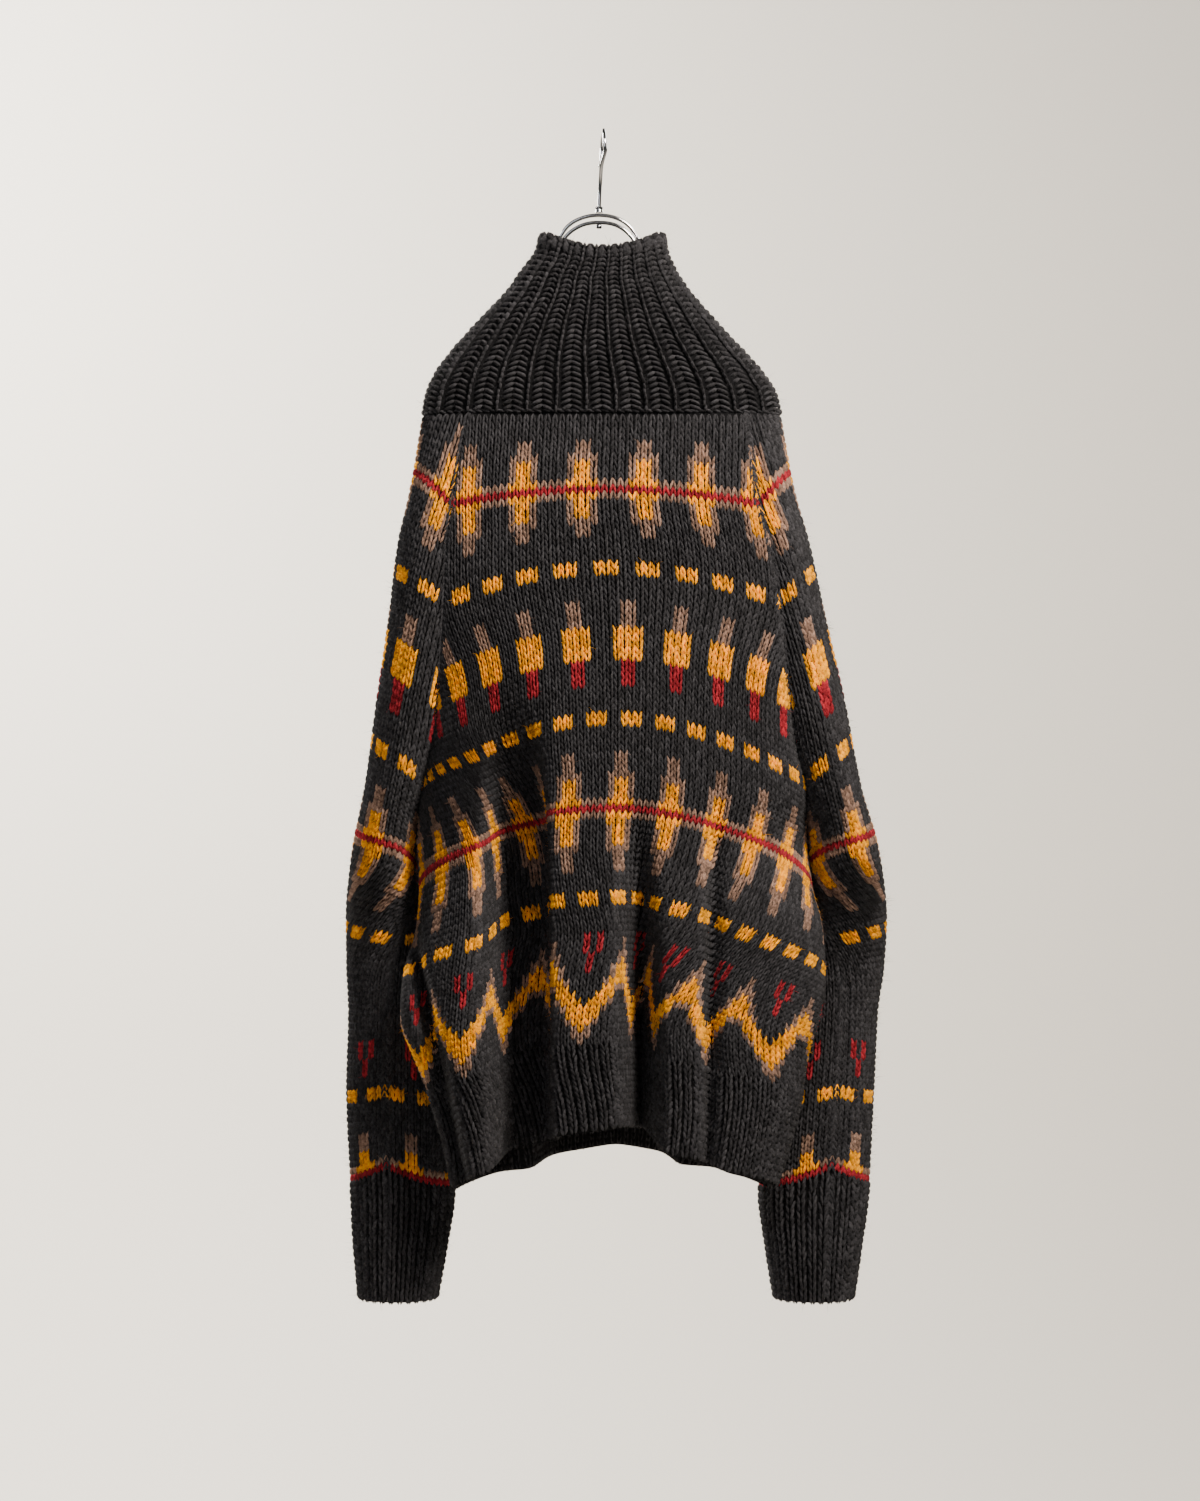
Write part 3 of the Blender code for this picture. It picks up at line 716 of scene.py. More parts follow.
def wool_material(look):
    """Bulky brushed wool yarn, spun in two plies: matte, softly lit at its edges and never even.

    The yarn of each stitch comes from its chart, its shade varies a little from stitch to stitch,
    and fibres about a millimetre long fleck it. The plies' twist shows every 2 mm along a leg.
    """
    surface = {"Roughness": 0.92, "Specular IOR Level": 0.06, "Sheen Weight": look.sheen,
               "Sheen Roughness": 0.55, "Sheen Tint": (1.0, 0.97, 0.93, 1)}
    material, tree, shader = new_material("bulky_wool_knit", surface)
    yarn = add_node(tree, "ShaderNodeAttribute", attribute_name="yarn")
    place_on = add_node(tree, "ShaderNodeTexCoord")
    ramp = add_node(tree, "ShaderNodeValToRGB", {"Fac": yarn.outputs["Fac"]})
    ramp.color_ramp.interpolation = "CONSTANT"
    colors = (look.charcoal, look.mustard, look.taupe, look.brick)
    while len(ramp.color_ramp.elements) < len(colors):
        ramp.color_ramp.elements.new(0.5)
    for i, color in enumerate(colors):
        ramp.color_ramp.elements[i].position = i / 4
        ramp.color_ramp.elements[i].color = (*color, 1)
    shade = add_node(tree, "ShaderNodeAttribute", attribute_name="shade")
    fibres = add_node(tree, "ShaderNodeTexNoise",
                      {"Vector": place_on.outputs["Object"], "Scale": 420.0, "Detail": 4.0, "Roughness": 0.7})
    stretch = add_node(tree, "ShaderNodeMapRange",
                       {"Value": fibres.outputs["Fac"], "From Min": 0.3, "From Max": 0.7,
                        "To Min": 0.4, "To Max": 1.65})
    uneven = add_node(tree, "ShaderNodeMapRange",
                      {"Value": shade.outputs["Fac"], "To Min": 0.6, "To Max": 1.4})
    value = add_node(tree, "ShaderNodeMath", {0: stretch.outputs["Result"], 1: uneven.outputs["Result"]},
                     operation="MULTIPLY")
    color = add_node(tree, "ShaderNodeHueSaturation",
                     {"Color": ramp.outputs["Color"], "Value": value.outputs[0]})
    tree.links.new(color.outputs["Color"], shader.inputs["Base Color"])
    twist = add_node(tree, "ShaderNodeUVMap", uv_map="twist")
    plies = add_node(tree, "ShaderNodeTexWave",
                     {"Vector": twist.outputs["UV"], "Scale": 0.9, "Distortion": 1.2, "Detail": 1.0},
                     wave_type="BANDS", bands_direction="DIAGONAL")
    relief = add_node(tree, "ShaderNodeMix", {0: 0.55, 2: plies.outputs["Fac"], 3: fibres.outputs["Fac"]},
                      data_type="FLOAT")
    bump = add_node(tree, "ShaderNodeBump",
                    {"Height": relief.outputs[0], "Strength": 0.8, "Distance": 0.0006})
    tree.links.new(bump.outputs["Normal"], shader.inputs["Normal"])
    return material


def backing_material(look):
    """The yarn that lies behind the stitches and is purled on the inside. Its charcoal is brought down to
    between a tenth and a half of its value, which paints the shade that falls between the stitches.
    """
    surface = {"Roughness": 0.95, "Specular IOR Level": 0.05, "Sheen Weight": look.sheen / 2,
               "Sheen Roughness": 0.6}
    material, tree, shader = new_material("wool_backing_painted_shade", surface)
    place_on = add_node(tree, "ShaderNodeTexCoord")
    fibres = add_node(tree, "ShaderNodeTexNoise",
                      {"Vector": place_on.outputs["Object"], "Scale": 500.0, "Detail": 4.0, "Roughness": 0.7})
    # Painted shade: the noise holds the backing's charcoal at a tenth to a half of its value, for the shade
    # between the stitches.
    painted_gap_shade = add_node(tree, "ShaderNodeMapRange",
                    {"Value": fibres.outputs["Fac"], "From Min": 0.3, "From Max": 0.7,
                     "To Min": 0.1, "To Max": 0.5})
    color = add_node(tree, "ShaderNodeHueSaturation",
                     {"Color": (*look.charcoal, 1), "Value": painted_gap_shade.outputs["Result"]})
    tree.links.new(color.outputs["Color"], shader.inputs["Base Color"])
    purl = add_node(tree, "ShaderNodeUVMap", uv_map="twist")
    rows = add_node(tree, "ShaderNodeTexWave",
                    {"Vector": purl.outputs["UV"], "Scale": 0.314, "Distortion": 2.5, "Detail": 1.0,
                     "Detail Scale": 1.4},
                    wave_type="BANDS", bands_direction="Y")
    bump = add_node(tree, "ShaderNodeBump",
                    {"Height": rows.outputs["Fac"], "Strength": 0.7, "Distance": 0.0015})
    tree.links.new(bump.outputs["Normal"], shader.inputs["Normal"])
    return material


def chrome_material():
    """Chrome-plated steel wire, drawn and polished: a clear mirror with faint long drawing marks."""
    surface = {"Metallic": 1.0, "Base Color": (*linear("C9C9CB"), 1), "Roughness": 0.12}
    material, tree, shader = new_material("polished_chrome_wire", surface)
    place_on = add_node(tree, "ShaderNodeTexCoord")
    stretch = add_node(tree, "ShaderNodeMapping",
                       {"Vector": place_on.outputs["Object"], "Scale": (900, 900, 60)})
    marks = add_node(tree, "ShaderNodeTexNoise",
                     {"Vector": stretch.outputs["Vector"], "Scale": 1.0, "Detail": 2.0})
    rough = add_node(tree, "ShaderNodeMapRange",
                     {"Value": marks.outputs["Fac"], "To Min": 0.08, "To Max": 0.24})
    tree.links.new(rough.outputs["Result"], shader.inputs["Roughness"])
    return material


def paper_material(look):
    """Matte painted studio board, warm white and quite even."""
    surface = {"Base Color": (*look.backdrop, 1), "Roughness": 0.9, "Specular IOR Level": 0.1}
    return new_material("painted_studio_board", surface)[0]


def shared_material(name, make, *args):
    return bpy.data.materials.get(name) or make(*args)


# ---------------------------------------------------------------- meshes


def new_object(name, mesh, material=None):
    if material:
        mesh.materials.append(material)
    made = bpy.data.objects.new(name, mesh)
    bpy.context.scene.collection.objects.link(made)
    return made


def leg_object():
    """One leg of a stitch, a unit long along Y, a unit wide and a unit thick over its edges."""
    stations = ((-0.5, 0.0, -0.35), (-0.27, 0.43, 0.72), (0.0, 0.5, 1.0),
                (0.27, 0.43, 0.72), (0.5, 0.0, -0.35))
    points, rows = [], []
    for y, half, crest in stations:
        first = len(points)
        if half:
            points += [(-half, y, -0.25), (0.0, y, crest), (half, y, -0.25)]
            rows.append((first, first + 1, first + 2))
        else:
            points.append((0.0, y, crest))
            rows.append((first,))
    faces = [(rows[0][0], rows[1][1], rows[1][0]), (rows[0][0], rows[1][2], rows[1][1])]
    for one, two in zip(rows[1:3], rows[2:4]):
        for k in (0, 1):
            faces.append((one[k], one[k + 1], two[k + 1], two[k]))
    faces += [(rows[4][0], rows[3][0], rows[3][1]), (rows[4][0], rows[3][1], rows[3][2])]
    mesh = bpy.data.meshes.new("stitch_leg")
    mesh.from_pydata(points, [], faces)
    uv = mesh.uv_layers.new(name="twist")
    for loop in mesh.loops:
        x, y, _ = points[loop.vertex_index]
        uv.data[loop.index].uv = (x * 4.0, y * 9.0)
    mesh.shade_smooth()
    return new_object("stitch_leg", mesh)


def fibre_object():
    """One loose fibre, a unit long along Y: a flat curved strip that lifts towards its end."""
    stations = ((0.0, -0.3, 0.5), (0.4, 0.55, 0.5), (1.0, 1.0, 0.15))
    points = [(side * half, y, z) for y, z, half in stations for side in (-1, 1)]
    mesh = bpy.data.meshes.new("loose_fibre")
    mesh.from_pydata(points, [], [(0, 1, 3, 2), (2, 3, 5, 4)])
    uv = mesh.uv_layers.new(name="twist")
    for loop in mesh.loops:
        uv.data[loop.index].uv = points[loop.vertex_index][:2]
    mesh.shade_smooth()
    return new_object("loose_fibre", mesh)


def knit_tree():
    """Geometry nodes that set a stitch's leg at each point and join all of them into one mesh."""
    tree = bpy.data.node_groups.get("Knitted stitches")
    if tree:
        return tree
    tree = bpy.data.node_groups.new("Knitted stitches", "GeometryNodeTree")
    face = tree.interface
    face.new_socket("Stitches", in_out="INPUT", socket_type="NodeSocketGeometry")
    face.new_socket("Leg", in_out="INPUT", socket_type="NodeSocketObject")
    face.new_socket("Yarn", in_out="INPUT", socket_type="NodeSocketMaterial")
    plump = face.new_socket("Plumpness", in_out="INPUT", socket_type="NodeSocketFloat")
    plump.default_value = 1.0
    face.new_socket("Knitting", in_out="OUTPUT", socket_type="NodeSocketGeometry")
    given = add_node(tree, "NodeGroupInput")
    points = add_node(tree, "GeometryNodeMeshToPoints", {"Mesh": given.outputs["Stitches"]})
    along, normal, size = (
        add_node(tree, "GeometryNodeInputNamedAttribute", {"Name": name}, data_type="FLOAT_VECTOR")
        for name in ("along", "normal", "size")
    )
    turn = add_node(tree, "FunctionNodeAxesToRotation",
                    {"Primary Axis": along.outputs["Attribute"],
                     "Secondary Axis": normal.outputs["Attribute"]},
                    primary_axis="Y", secondary_axis="Z")
    fuller = add_node(tree, "ShaderNodeCombineXYZ", {"X": given.outputs["Plumpness"], "Y": 1.0,
                                                     "Z": given.outputs["Plumpness"]})
    scale = add_node(tree, "ShaderNodeVectorMath", {0: size.outputs["Attribute"], 1: fuller.outputs[0]},
                     operation="MULTIPLY")
    leg = add_node(tree, "GeometryNodeObjectInfo", {"Object": given.outputs["Leg"]})
    copies = add_node(tree, "GeometryNodeInstanceOnPoints",
                      {"Points": points.outputs["Points"], "Instance": leg.outputs["Geometry"],
                       "Rotation": turn.outputs["Rotation"], "Scale": scale.outputs["Vector"]})
    real = add_node(tree, "GeometryNodeRealizeInstances", {"Geometry": copies.outputs["Instances"]})
    dyed = add_node(tree, "GeometryNodeSetMaterial",
                    {"Geometry": real.outputs["Geometry"], "Material": given.outputs["Yarn"]})
    add_node(tree, "NodeGroupOutput", {"Knitting": dyed.outputs["Geometry"]})
    return tree


STRANDS = {"stitch_leg": leg_object, "loose_fibre": fibre_object}


def knit(name, legs, wool, plumpness, strand="stitch_leg"):
    """Turns the points of a piece's legs or of its loose fibres into one plain mesh."""
    count = len(legs["at"])
    mesh = bpy.data.meshes.new(name + "_points")
    mesh.vertices.add(count)
    mesh.vertices.foreach_set("co", (legs["at"] * MM).ravel())
    for key, kind in (("along", "FLOAT_VECTOR"), ("normal", "FLOAT_VECTOR"), ("size", "FLOAT_VECTOR")):
        values = legs[key] * (MM if key == "size" else 1)
        mesh.attributes.new(key, kind, "POINT").data.foreach_set("vector", values.ravel())
    mesh.attributes.new("yarn", "FLOAT", "POINT").data.foreach_set("value", legs["yarn"] / 4 + 0.1)
    mesh.attributes.new("shade", "FLOAT", "POINT").data.foreach_set("value", legs["shade"])
    holder = new_object(name + "_points", mesh)
    leg = bpy.data.objects.get(strand) or STRANDS[strand]()
    tree = knit_tree()
    work = holder.modifiers.new("knit", "NODES")
    work.node_group = tree
    given = {item.name: item.identifier for item in tree.interface.items_tree if item.in_out == "INPUT"}
    work[given["Leg"]] = leg
    work[given["Yarn"]] = wool
    work[given["Plumpness"]] = plumpness
    bpy.context.view_layer.update()
    graph = bpy.context.evaluated_depsgraph_get()
    made = bpy.data.meshes.new_from_object(holder.evaluated_get(graph), depsgraph=graph)
    holder.modifiers.remove(work)
    bpy.data.objects.remove(holder)
    made.name = name
    for extra in ("along", "normal", "size"):
        if extra in made.attributes:
            made.attributes.remove(made.attributes[extra])
    made.shade_smooth()
    return new_object(name, made)


def shell_object(name, outer, inner, closed, material):
    """A closed thin wall between two grids of points of one size, in millimetres."""
    down, across = outer.shape[:2]
    points = np.concatenate([outer.reshape(-1, 3), inner.reshape(-1, 3)]) * MM
    index = np.arange(down * across).reshape(down, across)
    if closed:
        index = np.concatenate([index, index[:, :1]], axis=1)
    inside = index + down * across
    quads = []
    for grid, turned in ((index, False), (inside, True)):
        ring = np.stack([grid[:-1, :-1], grid[:-1, 1:], grid[1:, 1:], grid[1:, :-1]], axis=-1).reshape(-1, 4)
        quads.append(ring[:, ::-1] if turned else ring)
    rims = [(index[0], inside[0], True), (index[-1], inside[-1], False)]
    if not closed:
        rims += [(index[:, 0], inside[:, 0], False), (index[:, -1], inside[:, -1], True)]
    for out, back, turned in rims:
        rim = np.stack([out[:-1], out[1:], back[1:], back[:-1]], axis=-1)
        quads.append(rim if turned else rim[:, ::-1])
    quads = np.concatenate(quads)
    corners = points[quads]
    volume = np.einsum("ij,ij->", corners[:, 0], np.cross(corners[:, 1], corners[:, 2]))
    volume += np.einsum("ij,ij->", corners[:, 0], np.cross(corners[:, 2], corners[:, 3]))
    if volume < 0:
        quads = quads[:, ::-1]
    mesh = bpy.data.meshes.new(name)
    mesh.from_pydata(points.tolist(), [], quads.tolist())
    uv = mesh.uv_layers.new(name="twist")
    flat = np.stack(np.meshgrid(np.arange(across + 1), np.arange(down)), axis=-1).astype(float)
    along = np.linalg.norm(np.diff(outer, axis=0), axis=-1).mean()
    beside = np.linalg.norm(np.diff(outer, axis=1), axis=-1).mean()
    flat *= (beside, along)
    spots = np.zeros((2 * down * across, 2))
    spots[: down * across] = flat[:, :across].reshape(-1, 2)
    spots[down * across :] = spots[: down * across]
    loops = np.empty(len(mesh.loops), int)
    mesh.loops.foreach_get("vertex_index", loops)
    uv.data.foreach_set("uv", spots[loops].ravel())
    mesh.shade_smooth()
    mesh.set_sharp_from_angle(angle=math.radians(60))
    return new_object(name, mesh, material)


def wire_mesh(name, points, radius, closed, material):
    """A round wire along a run of points in millimetres, as a plain mesh."""
    data = bpy.data.curves.new(name + "_curve", "CURVE")
    data.dimensions = "3D"
    data.bevel_depth = radius * MM
    data.bevel_resolution = 5
    data.use_fill_caps = True
    spline = data.splines.new("POLY")
    spline.points.add(len(points) - 1)
    for point, (x, y, z) in zip(spline.points, points):
        point.co = (x * MM, y * MM, z * MM, 1)
    spline.use_cyclic_u = closed
    spline.use_smooth = True
    holder = bpy.data.objects.new(name + "_curve", data)
    bpy.context.scene.collection.objects.link(holder)
    graph = bpy.context.evaluated_depsgraph_get()
    mesh = bpy.data.meshes.new_from_object(holder.evaluated_get(graph), depsgraph=graph)
    bpy.data.objects.remove(holder)
    mesh.name = name
    mesh.materials.clear()
    return new_object(name, mesh, material)


def turned_object(name, profile, centre, material, sides=32):
    """A small part turned about a vertical axis, from its profile of radius and height."""
    angle = np.arange(sides) * 2 * math.pi / sides
    points = [(centre[0], centre[1], centre[2] + profile[0][1])]
    for radius, height in profile[1:-1]:
        points += [(centre[0] + radius * math.cos(a), centre[1] + radius * math.sin(a), centre[2] + height)
                   for a in angle]
    points.append((centre[0], centre[1], centre[2] + profile[-1][1]))
    faces, last = [], len(points) - 1
    for i in range(sides):
        j = (i + 1) % sides
        faces.append((0, 1 + j, 1 + i))
        for ring in range(len(profile) - 3):
            a = 1 + ring * sides
            faces.append((a + i, a + j, a + sides + j, a + sides + i))
        a = 1 + (len(profile) - 3) * sides
        faces.append((a + i, a + j, last))
    mesh = bpy.data.meshes.new(name)
    mesh.from_pydata([(x * MM, y * MM, z * MM) for x, y, z in points], [], faces)
    mesh.shade_smooth()
    mesh.set_sharp_from_angle(angle=math.radians(40))
    return new_object(name, mesh, material)


def smooth_run(points, steps, closed):
    """A smooth curve through the points of a run."""
    points = np.array(points, float)
    count = len(points)
    run = []
    for i in range(count if closed else count - 1):
        near = [(i + k) % count if closed else min(max(i + k, 0), count - 1) for k in (-1, 0, 1, 2)]
        a, b, c, d = points[near]
        for t in np.arange(steps) / steps:
            cubic = 2 * b + (c - a) * t + (2 * a - 5 * b + 4 * c - d) * t**2
            run.append((cubic + (3 * b - a - 3 * c + d) * t**3) / 2)
    if not closed:
        run.append(points[-1])
    return run


# ---------------------------------------------------------------- the pieces


def finish_piece(backing, node, parts):
    """Parents a piece's backing and knitting to the root body and hides its solid."""
    for piece in (backing, *parts):
        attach(piece, "root")
    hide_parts(node)


def inset(sheet, heights, columns):
    """Columns, given as shares of a cloth, moved half a seam's gap inside both its edges."""
    return columns * (1 - SEAM_GAP / 2 / half_cloth(sheet, heights, np.broadcast_to(columns, heights.shape)))


def backing(name, sheet, marks, wall, table, drop, material):
    """The thin wall behind the stitches of a piece, between its heights at the seams."""
    across, down, out, thick = wall
    rows = np.linspace(marks[0] - SEAM_GAP / 2, marks[1] + SEAM_GAP / 2, down + 1)
    columns = np.linspace(-1, 1, across + 1)
    heights = hung(rows, table, drop, columns)
    share = inset(sheet, heights, columns)
    outer = place(sheet, heights, share, out)
    inner = place(sheet, heights, share, out - thick)
    return shell_object(name, outer, inner, False, material)


def knit_plain(node, sheet, marks, drop, table, count, gauge, bands, rows, reach, look, seed):
    """A piece of plain knitting: its backing and its stitches, with the bands of pattern."""
    wool = shared_material("bulky_wool_knit", wool_material, look)
    backing_with_painted_shade = shared_material("wool_backing_painted_shade", backing_material, look)
    wall = backing(node + "_cloth", sheet, marks, PLAIN_WALL, table, drop, backing_with_painted_shade)
    surface = on_cloth(sheet, table, drop, count, gauge)
    cells = stitch_grid(range(*rows), range(-reach, reach), bands)
    rng = np.random.default_rng(seed)
    legs = lay_legs(surface, cells, PLAIN_LEGS, rng, look.unevenness)
    seams = sewn_edges(sheet, marks, rng)
    fuzz = lay_fuzz(surface, cells, int(look.fibres * FUZZ[node]), rng)
    finish_piece(wall, node, (knit(node + "_stitches", joined(legs, *seams), wool, look.plumpness),
                              knit(node + "_fuzz", fuzz, wool, 1.0, "loose_fibre")))


def knit_ribbed(node, sheet, marks, drop, table, count, ribs, rows, look, seed):
    """A ribbed edge: its backing, its outer ribs and the ribs of its inside."""
    wool = shared_material("bulky_wool_knit", wool_material, look)
    backing_with_painted_shade = shared_material("wool_backing_painted_shade", backing_material, look)
    wall = backing(node + "_cloth", sheet, marks, RIBBED_WALL, table, drop, backing_with_painted_shade)
    surface = on_cloth(sheet, table, drop, count, ribs)
    cells = stitch_grid(range(*rows), range(-ribs, ribs), ())
    rng = np.random.default_rng(seed)
    outer = lay_legs(surface, cells, RIB_LEGS, rng, look.unevenness)
    inner = lay_legs(surface, cells, RIB_LEGS, rng, look.unevenness, lift=-2.6, inside=True)
    seams = sewn_edges(sheet, marks, rng)
    fuzz = lay_fuzz(surface, cells, int(look.fibres * FUZZ[node]), rng)
    finish_piece(wall, node, (knit(node + "_stitches", joined(outer, inner, *seams), wool, look.plumpness),
                              knit(node + "_fuzz", fuzz, wool, 1.0, "loose_fibre")))


class SweaterLook(bpy.types.PropertyGroup):
    """Yarns and stitches of the sweater."""

    charcoal: bpy.props.FloatVectorProperty(
        name="Charcoal", description="Main yarn, a near-black charcoal", subtype="COLOR", size=3,
        min=0, max=1, default=linear("383739"))
    mustard: bpy.props.FloatVectorProperty(
        name="Mustard", description="Yarn of the dashes, torches and diamonds", subtype="COLOR", size=3,
        min=0, max=1, default=linear("FFAA00"))
    taupe: bpy.props.FloatVectorProperty(
        name="Taupe", description="Heathered brown yarn round the diamonds", subtype="COLOR", size=3,
        min=0, max=1, default=linear("8E7262"))
    brick: bpy.props.FloatVectorProperty(
        name="Brick red", description="Yarn of the red rows and marks", subtype="COLOR", size=3,
        min=0, max=1, default=linear("9E2A33"))
    sheen: bpy.props.FloatProperty(
        name="Fuzz", description="How much loose fibre catches light at the yarn's edges",
        subtype="FACTOR", min=0, max=1, default=0.03)
    fibres: bpy.props.FloatProperty(
        name="Loose fibres", description="How many fibres stand off the yarn, against the usual number",
        subtype="FACTOR", min=0, max=2, default=1.0)
    plumpness: bpy.props.FloatProperty(
        name="Plumpness", description="How thick the yarn of a stitch is", subtype="FACTOR",
        min=0.5, max=1.5, default=1.0)
    unevenness: bpy.props.FloatProperty(
        name="Unevenness", description="How far a leg strays, as a share of a stitch", subtype="FACTOR",
        min=0, max=0.2, default=0.035)


class HangerLook(bpy.types.PropertyGroup):
    """Sizes of the wire hanger."""

    wire: bpy.props.FloatProperty(
        name="Wire", description="Diameter of the hanger's wire", unit="LENGTH", min=0.001, max=0.01,
        default=0.0038)


class StageLook(bpy.types.PropertyGroup):
    """Backdrop, lights and camera."""

    backdrop: bpy.props.FloatVectorProperty(
        name="Backdrop", description="Colour of the floor and the board behind", subtype="COLOR", size=3,
        min=0, max=1, default=linear("F0EBE2"))
    key: bpy.props.FloatProperty(
        name="Key light", description="Power of the light at the upper right", unit="POWER",
        min=0, default=84.0)
    fill: bpy.props.FloatProperty(
        name="Fill light", description="Power of the soft light at the left", unit="POWER",
        min=0, default=15.0)
    board: bpy.props.FloatProperty(
        name="Board light", description="Power of the light on the board behind", unit="POWER",
        min=0, default=560.0)
    rear: bpy.props.FloatProperty(
        name="Rear light", description="Power of the light behind, which edges the wool", unit="POWER",
        min=0, default=45.0)
    distance: bpy.props.FloatProperty(
        name="Camera distance", description="From the camera to the hanger", unit="LENGTH",
        min=0.5, default=2.7)
    lens: bpy.props.FloatProperty(
        name="Lens", description="Focal length on a sensor 36 mm tall", unit="CAMERA", min=10,
        default=67.5)


class SWEATER_OT_body(bpy.types.Operator):
    """Knit the back and front panels with their bands of pattern"""

    bl_idname = "sweater.body"
    bl_label = "Back and front panels"

    def execute(self, context):
        look, cloths = context.scene.sweater_look, hung_cloths()
        for seed, (face, last) in enumerate((("back", 85), ("front", 89))):
            knit_plain(face + "_panel", cloths[face], (NECK_SEAM, RIB_TOP), face + "_drop", BODY_ROWS,
                       BODY_COUNT, BODY_GAUGE, BODY_BANDS, (-11, last), 60, look, seed)
        return {"FINISHED"}


class SWEATER_OT_hem(bpy.types.Operator):
    """Knit the ribbed hem of the back and of the front"""

    bl_idname = "sweater.hem"
    bl_label = "Hem ribs"

    def execute(self, context):
        look, cloths = context.scene.sweater_look, hung_cloths()
        hems = (("back", BODY_COUNT, 35), ("front", FRONT_HEM_COUNT, 28))
        for seed, (face, count, ribs) in enumerate(hems):
            knit_ribbed("hem_rib_" + face, cloths[face], (RIB_TOP, HEM_END), face + "_drop", BODY_ROWS,
                        count, ribs, (85, 100), look, 10 + seed)
        return {"FINISHED"}


class SWEATER_OT_sleeves(bpy.types.Operator):
    """Knit both raglan sleeves"""

    bl_idname = "sweater.sleeves"
    bl_label = "Sleeves"

    def execute(self, context):
        look, cloths = context.scene.sweater_look, hung_cloths()
        for seed, side in enumerate(("left", "right")):
            knit_plain("sleeve_" + side, cloths[side], (NECK_SEAM, CUFF_TOP), "drop", SLEEVE_ROWS,
                       SLEEVE_COUNT, SLEEVE_GAUGE, SLEEVE_BANDS, (-8, 103), 28, look, 20 + seed)
        return {"FINISHED"}


class SWEATER_OT_cuffs(bpy.types.Operator):
    """Knit both ribbed cuffs"""

    bl_idname = "sweater.cuffs"
    bl_label = "Cuffs"

    def execute(self, context):
        look, cloths = context.scene.sweater_look, hung_cloths()
        for seed, side in enumerate(("left", "right")):
            knit_ribbed("cuff_" + side, cloths[side], (CUFF_TOP, CUFF_END), "drop", SLEEVE_ROWS,
                        SLEEVE_COUNT, 13, (103, 120), look, 30 + seed)
        return {"FINISHED"}


class SWEATER_OT_collar(bpy.types.Operator):
    """Knit the turtleneck's stretched ribs, broad chevrons between thin ridges"""

    bl_idname = "sweater.collar"
    bl_label = "Turtleneck"

    def execute(self, context):
        look = context.scene.sweater_look
        wool = shared_material("bulky_wool_knit", wool_material, look)
        backing_with_painted_shade = shared_material("wool_backing_painted_shade", backing_material, look)
        sheet = collar_sheet()
        heights = np.linspace(NECK_TOP, NECK_SEAM + SEAM_GAP / 2, COLLAR_DOWN)[:, None]
        turns = np.arange(COLLAR_ROUND)[None, :] / COLLAR_ROUND
        heights, turns = np.broadcast_arrays(heights, turns)
        grids = [collar_place(sheet, heights, turns, out) for out in COLLAR_WALL]
        wall = shell_object("collar_cloth", grids[0], grids[1], True, backing_with_painted_shade)

        def surface(row, column, out):
            height = NECK_TOP - row * COLLAR_ROW
            found = collar_place(sheet, np.clip(height, NECK_SEAM, NECK_TOP), column / COLLAR_RIBS, out)
            found[:, 2] += np.maximum(height - NECK_TOP, 0)
            return found, np.zeros(len(row)), height

        last = int((NECK_TOP - NECK_SEAM) / COLLAR_ROW)
        cells = stitch_grid(range(0, last + 1), range(COLLAR_RIBS), ())
        rng = np.random.default_rng(40)
        outer = lay_legs(surface, cells, COLLAR_LEGS, rng, look.unevenness / 2)
        near = stitch_grid(range(0, 14), range(COLLAR_RIBS), ())
        inner = lay_legs(surface, near, COLLAR_LEGS, rng, look.unevenness / 2, lift=-4.2, inside=True)
        rim = stitch_grid(range(0, 1), range(COLLAR_RIBS), ())
        over = lay_legs(surface, rim, RIM_LEGS, rng, look.unevenness)
        under = lay_legs(surface, rim, RIM_LEGS, rng, look.unevenness, lift=-4.2, inside=True)

        def seam(row, column, out):
            turn = column / (COLLAR_RIBS * 4)
            return collar_place(sheet, NECK_SEAM + 1.5 - row * 3.0, turn, out), np.zeros(len(row)), row

        chain = lay_legs(seam, stitch_grid(range(0, 1), range(COLLAR_RIBS * 4), ()), CHAIN_LEGS, rng, 0.08)
        legs = joined(outer, inner, over, under, chain)
        fuzz = lay_fuzz(surface, cells, int(look.fibres * FUZZ["collar"]), rng)
        finish_piece(wall, "collar", (knit("collar_stitches", legs, wool, look.plumpness),
                                      knit("collar_fuzz", fuzz, wool, 1.0, "loose_fibre")))
        return {"FINISHED"}


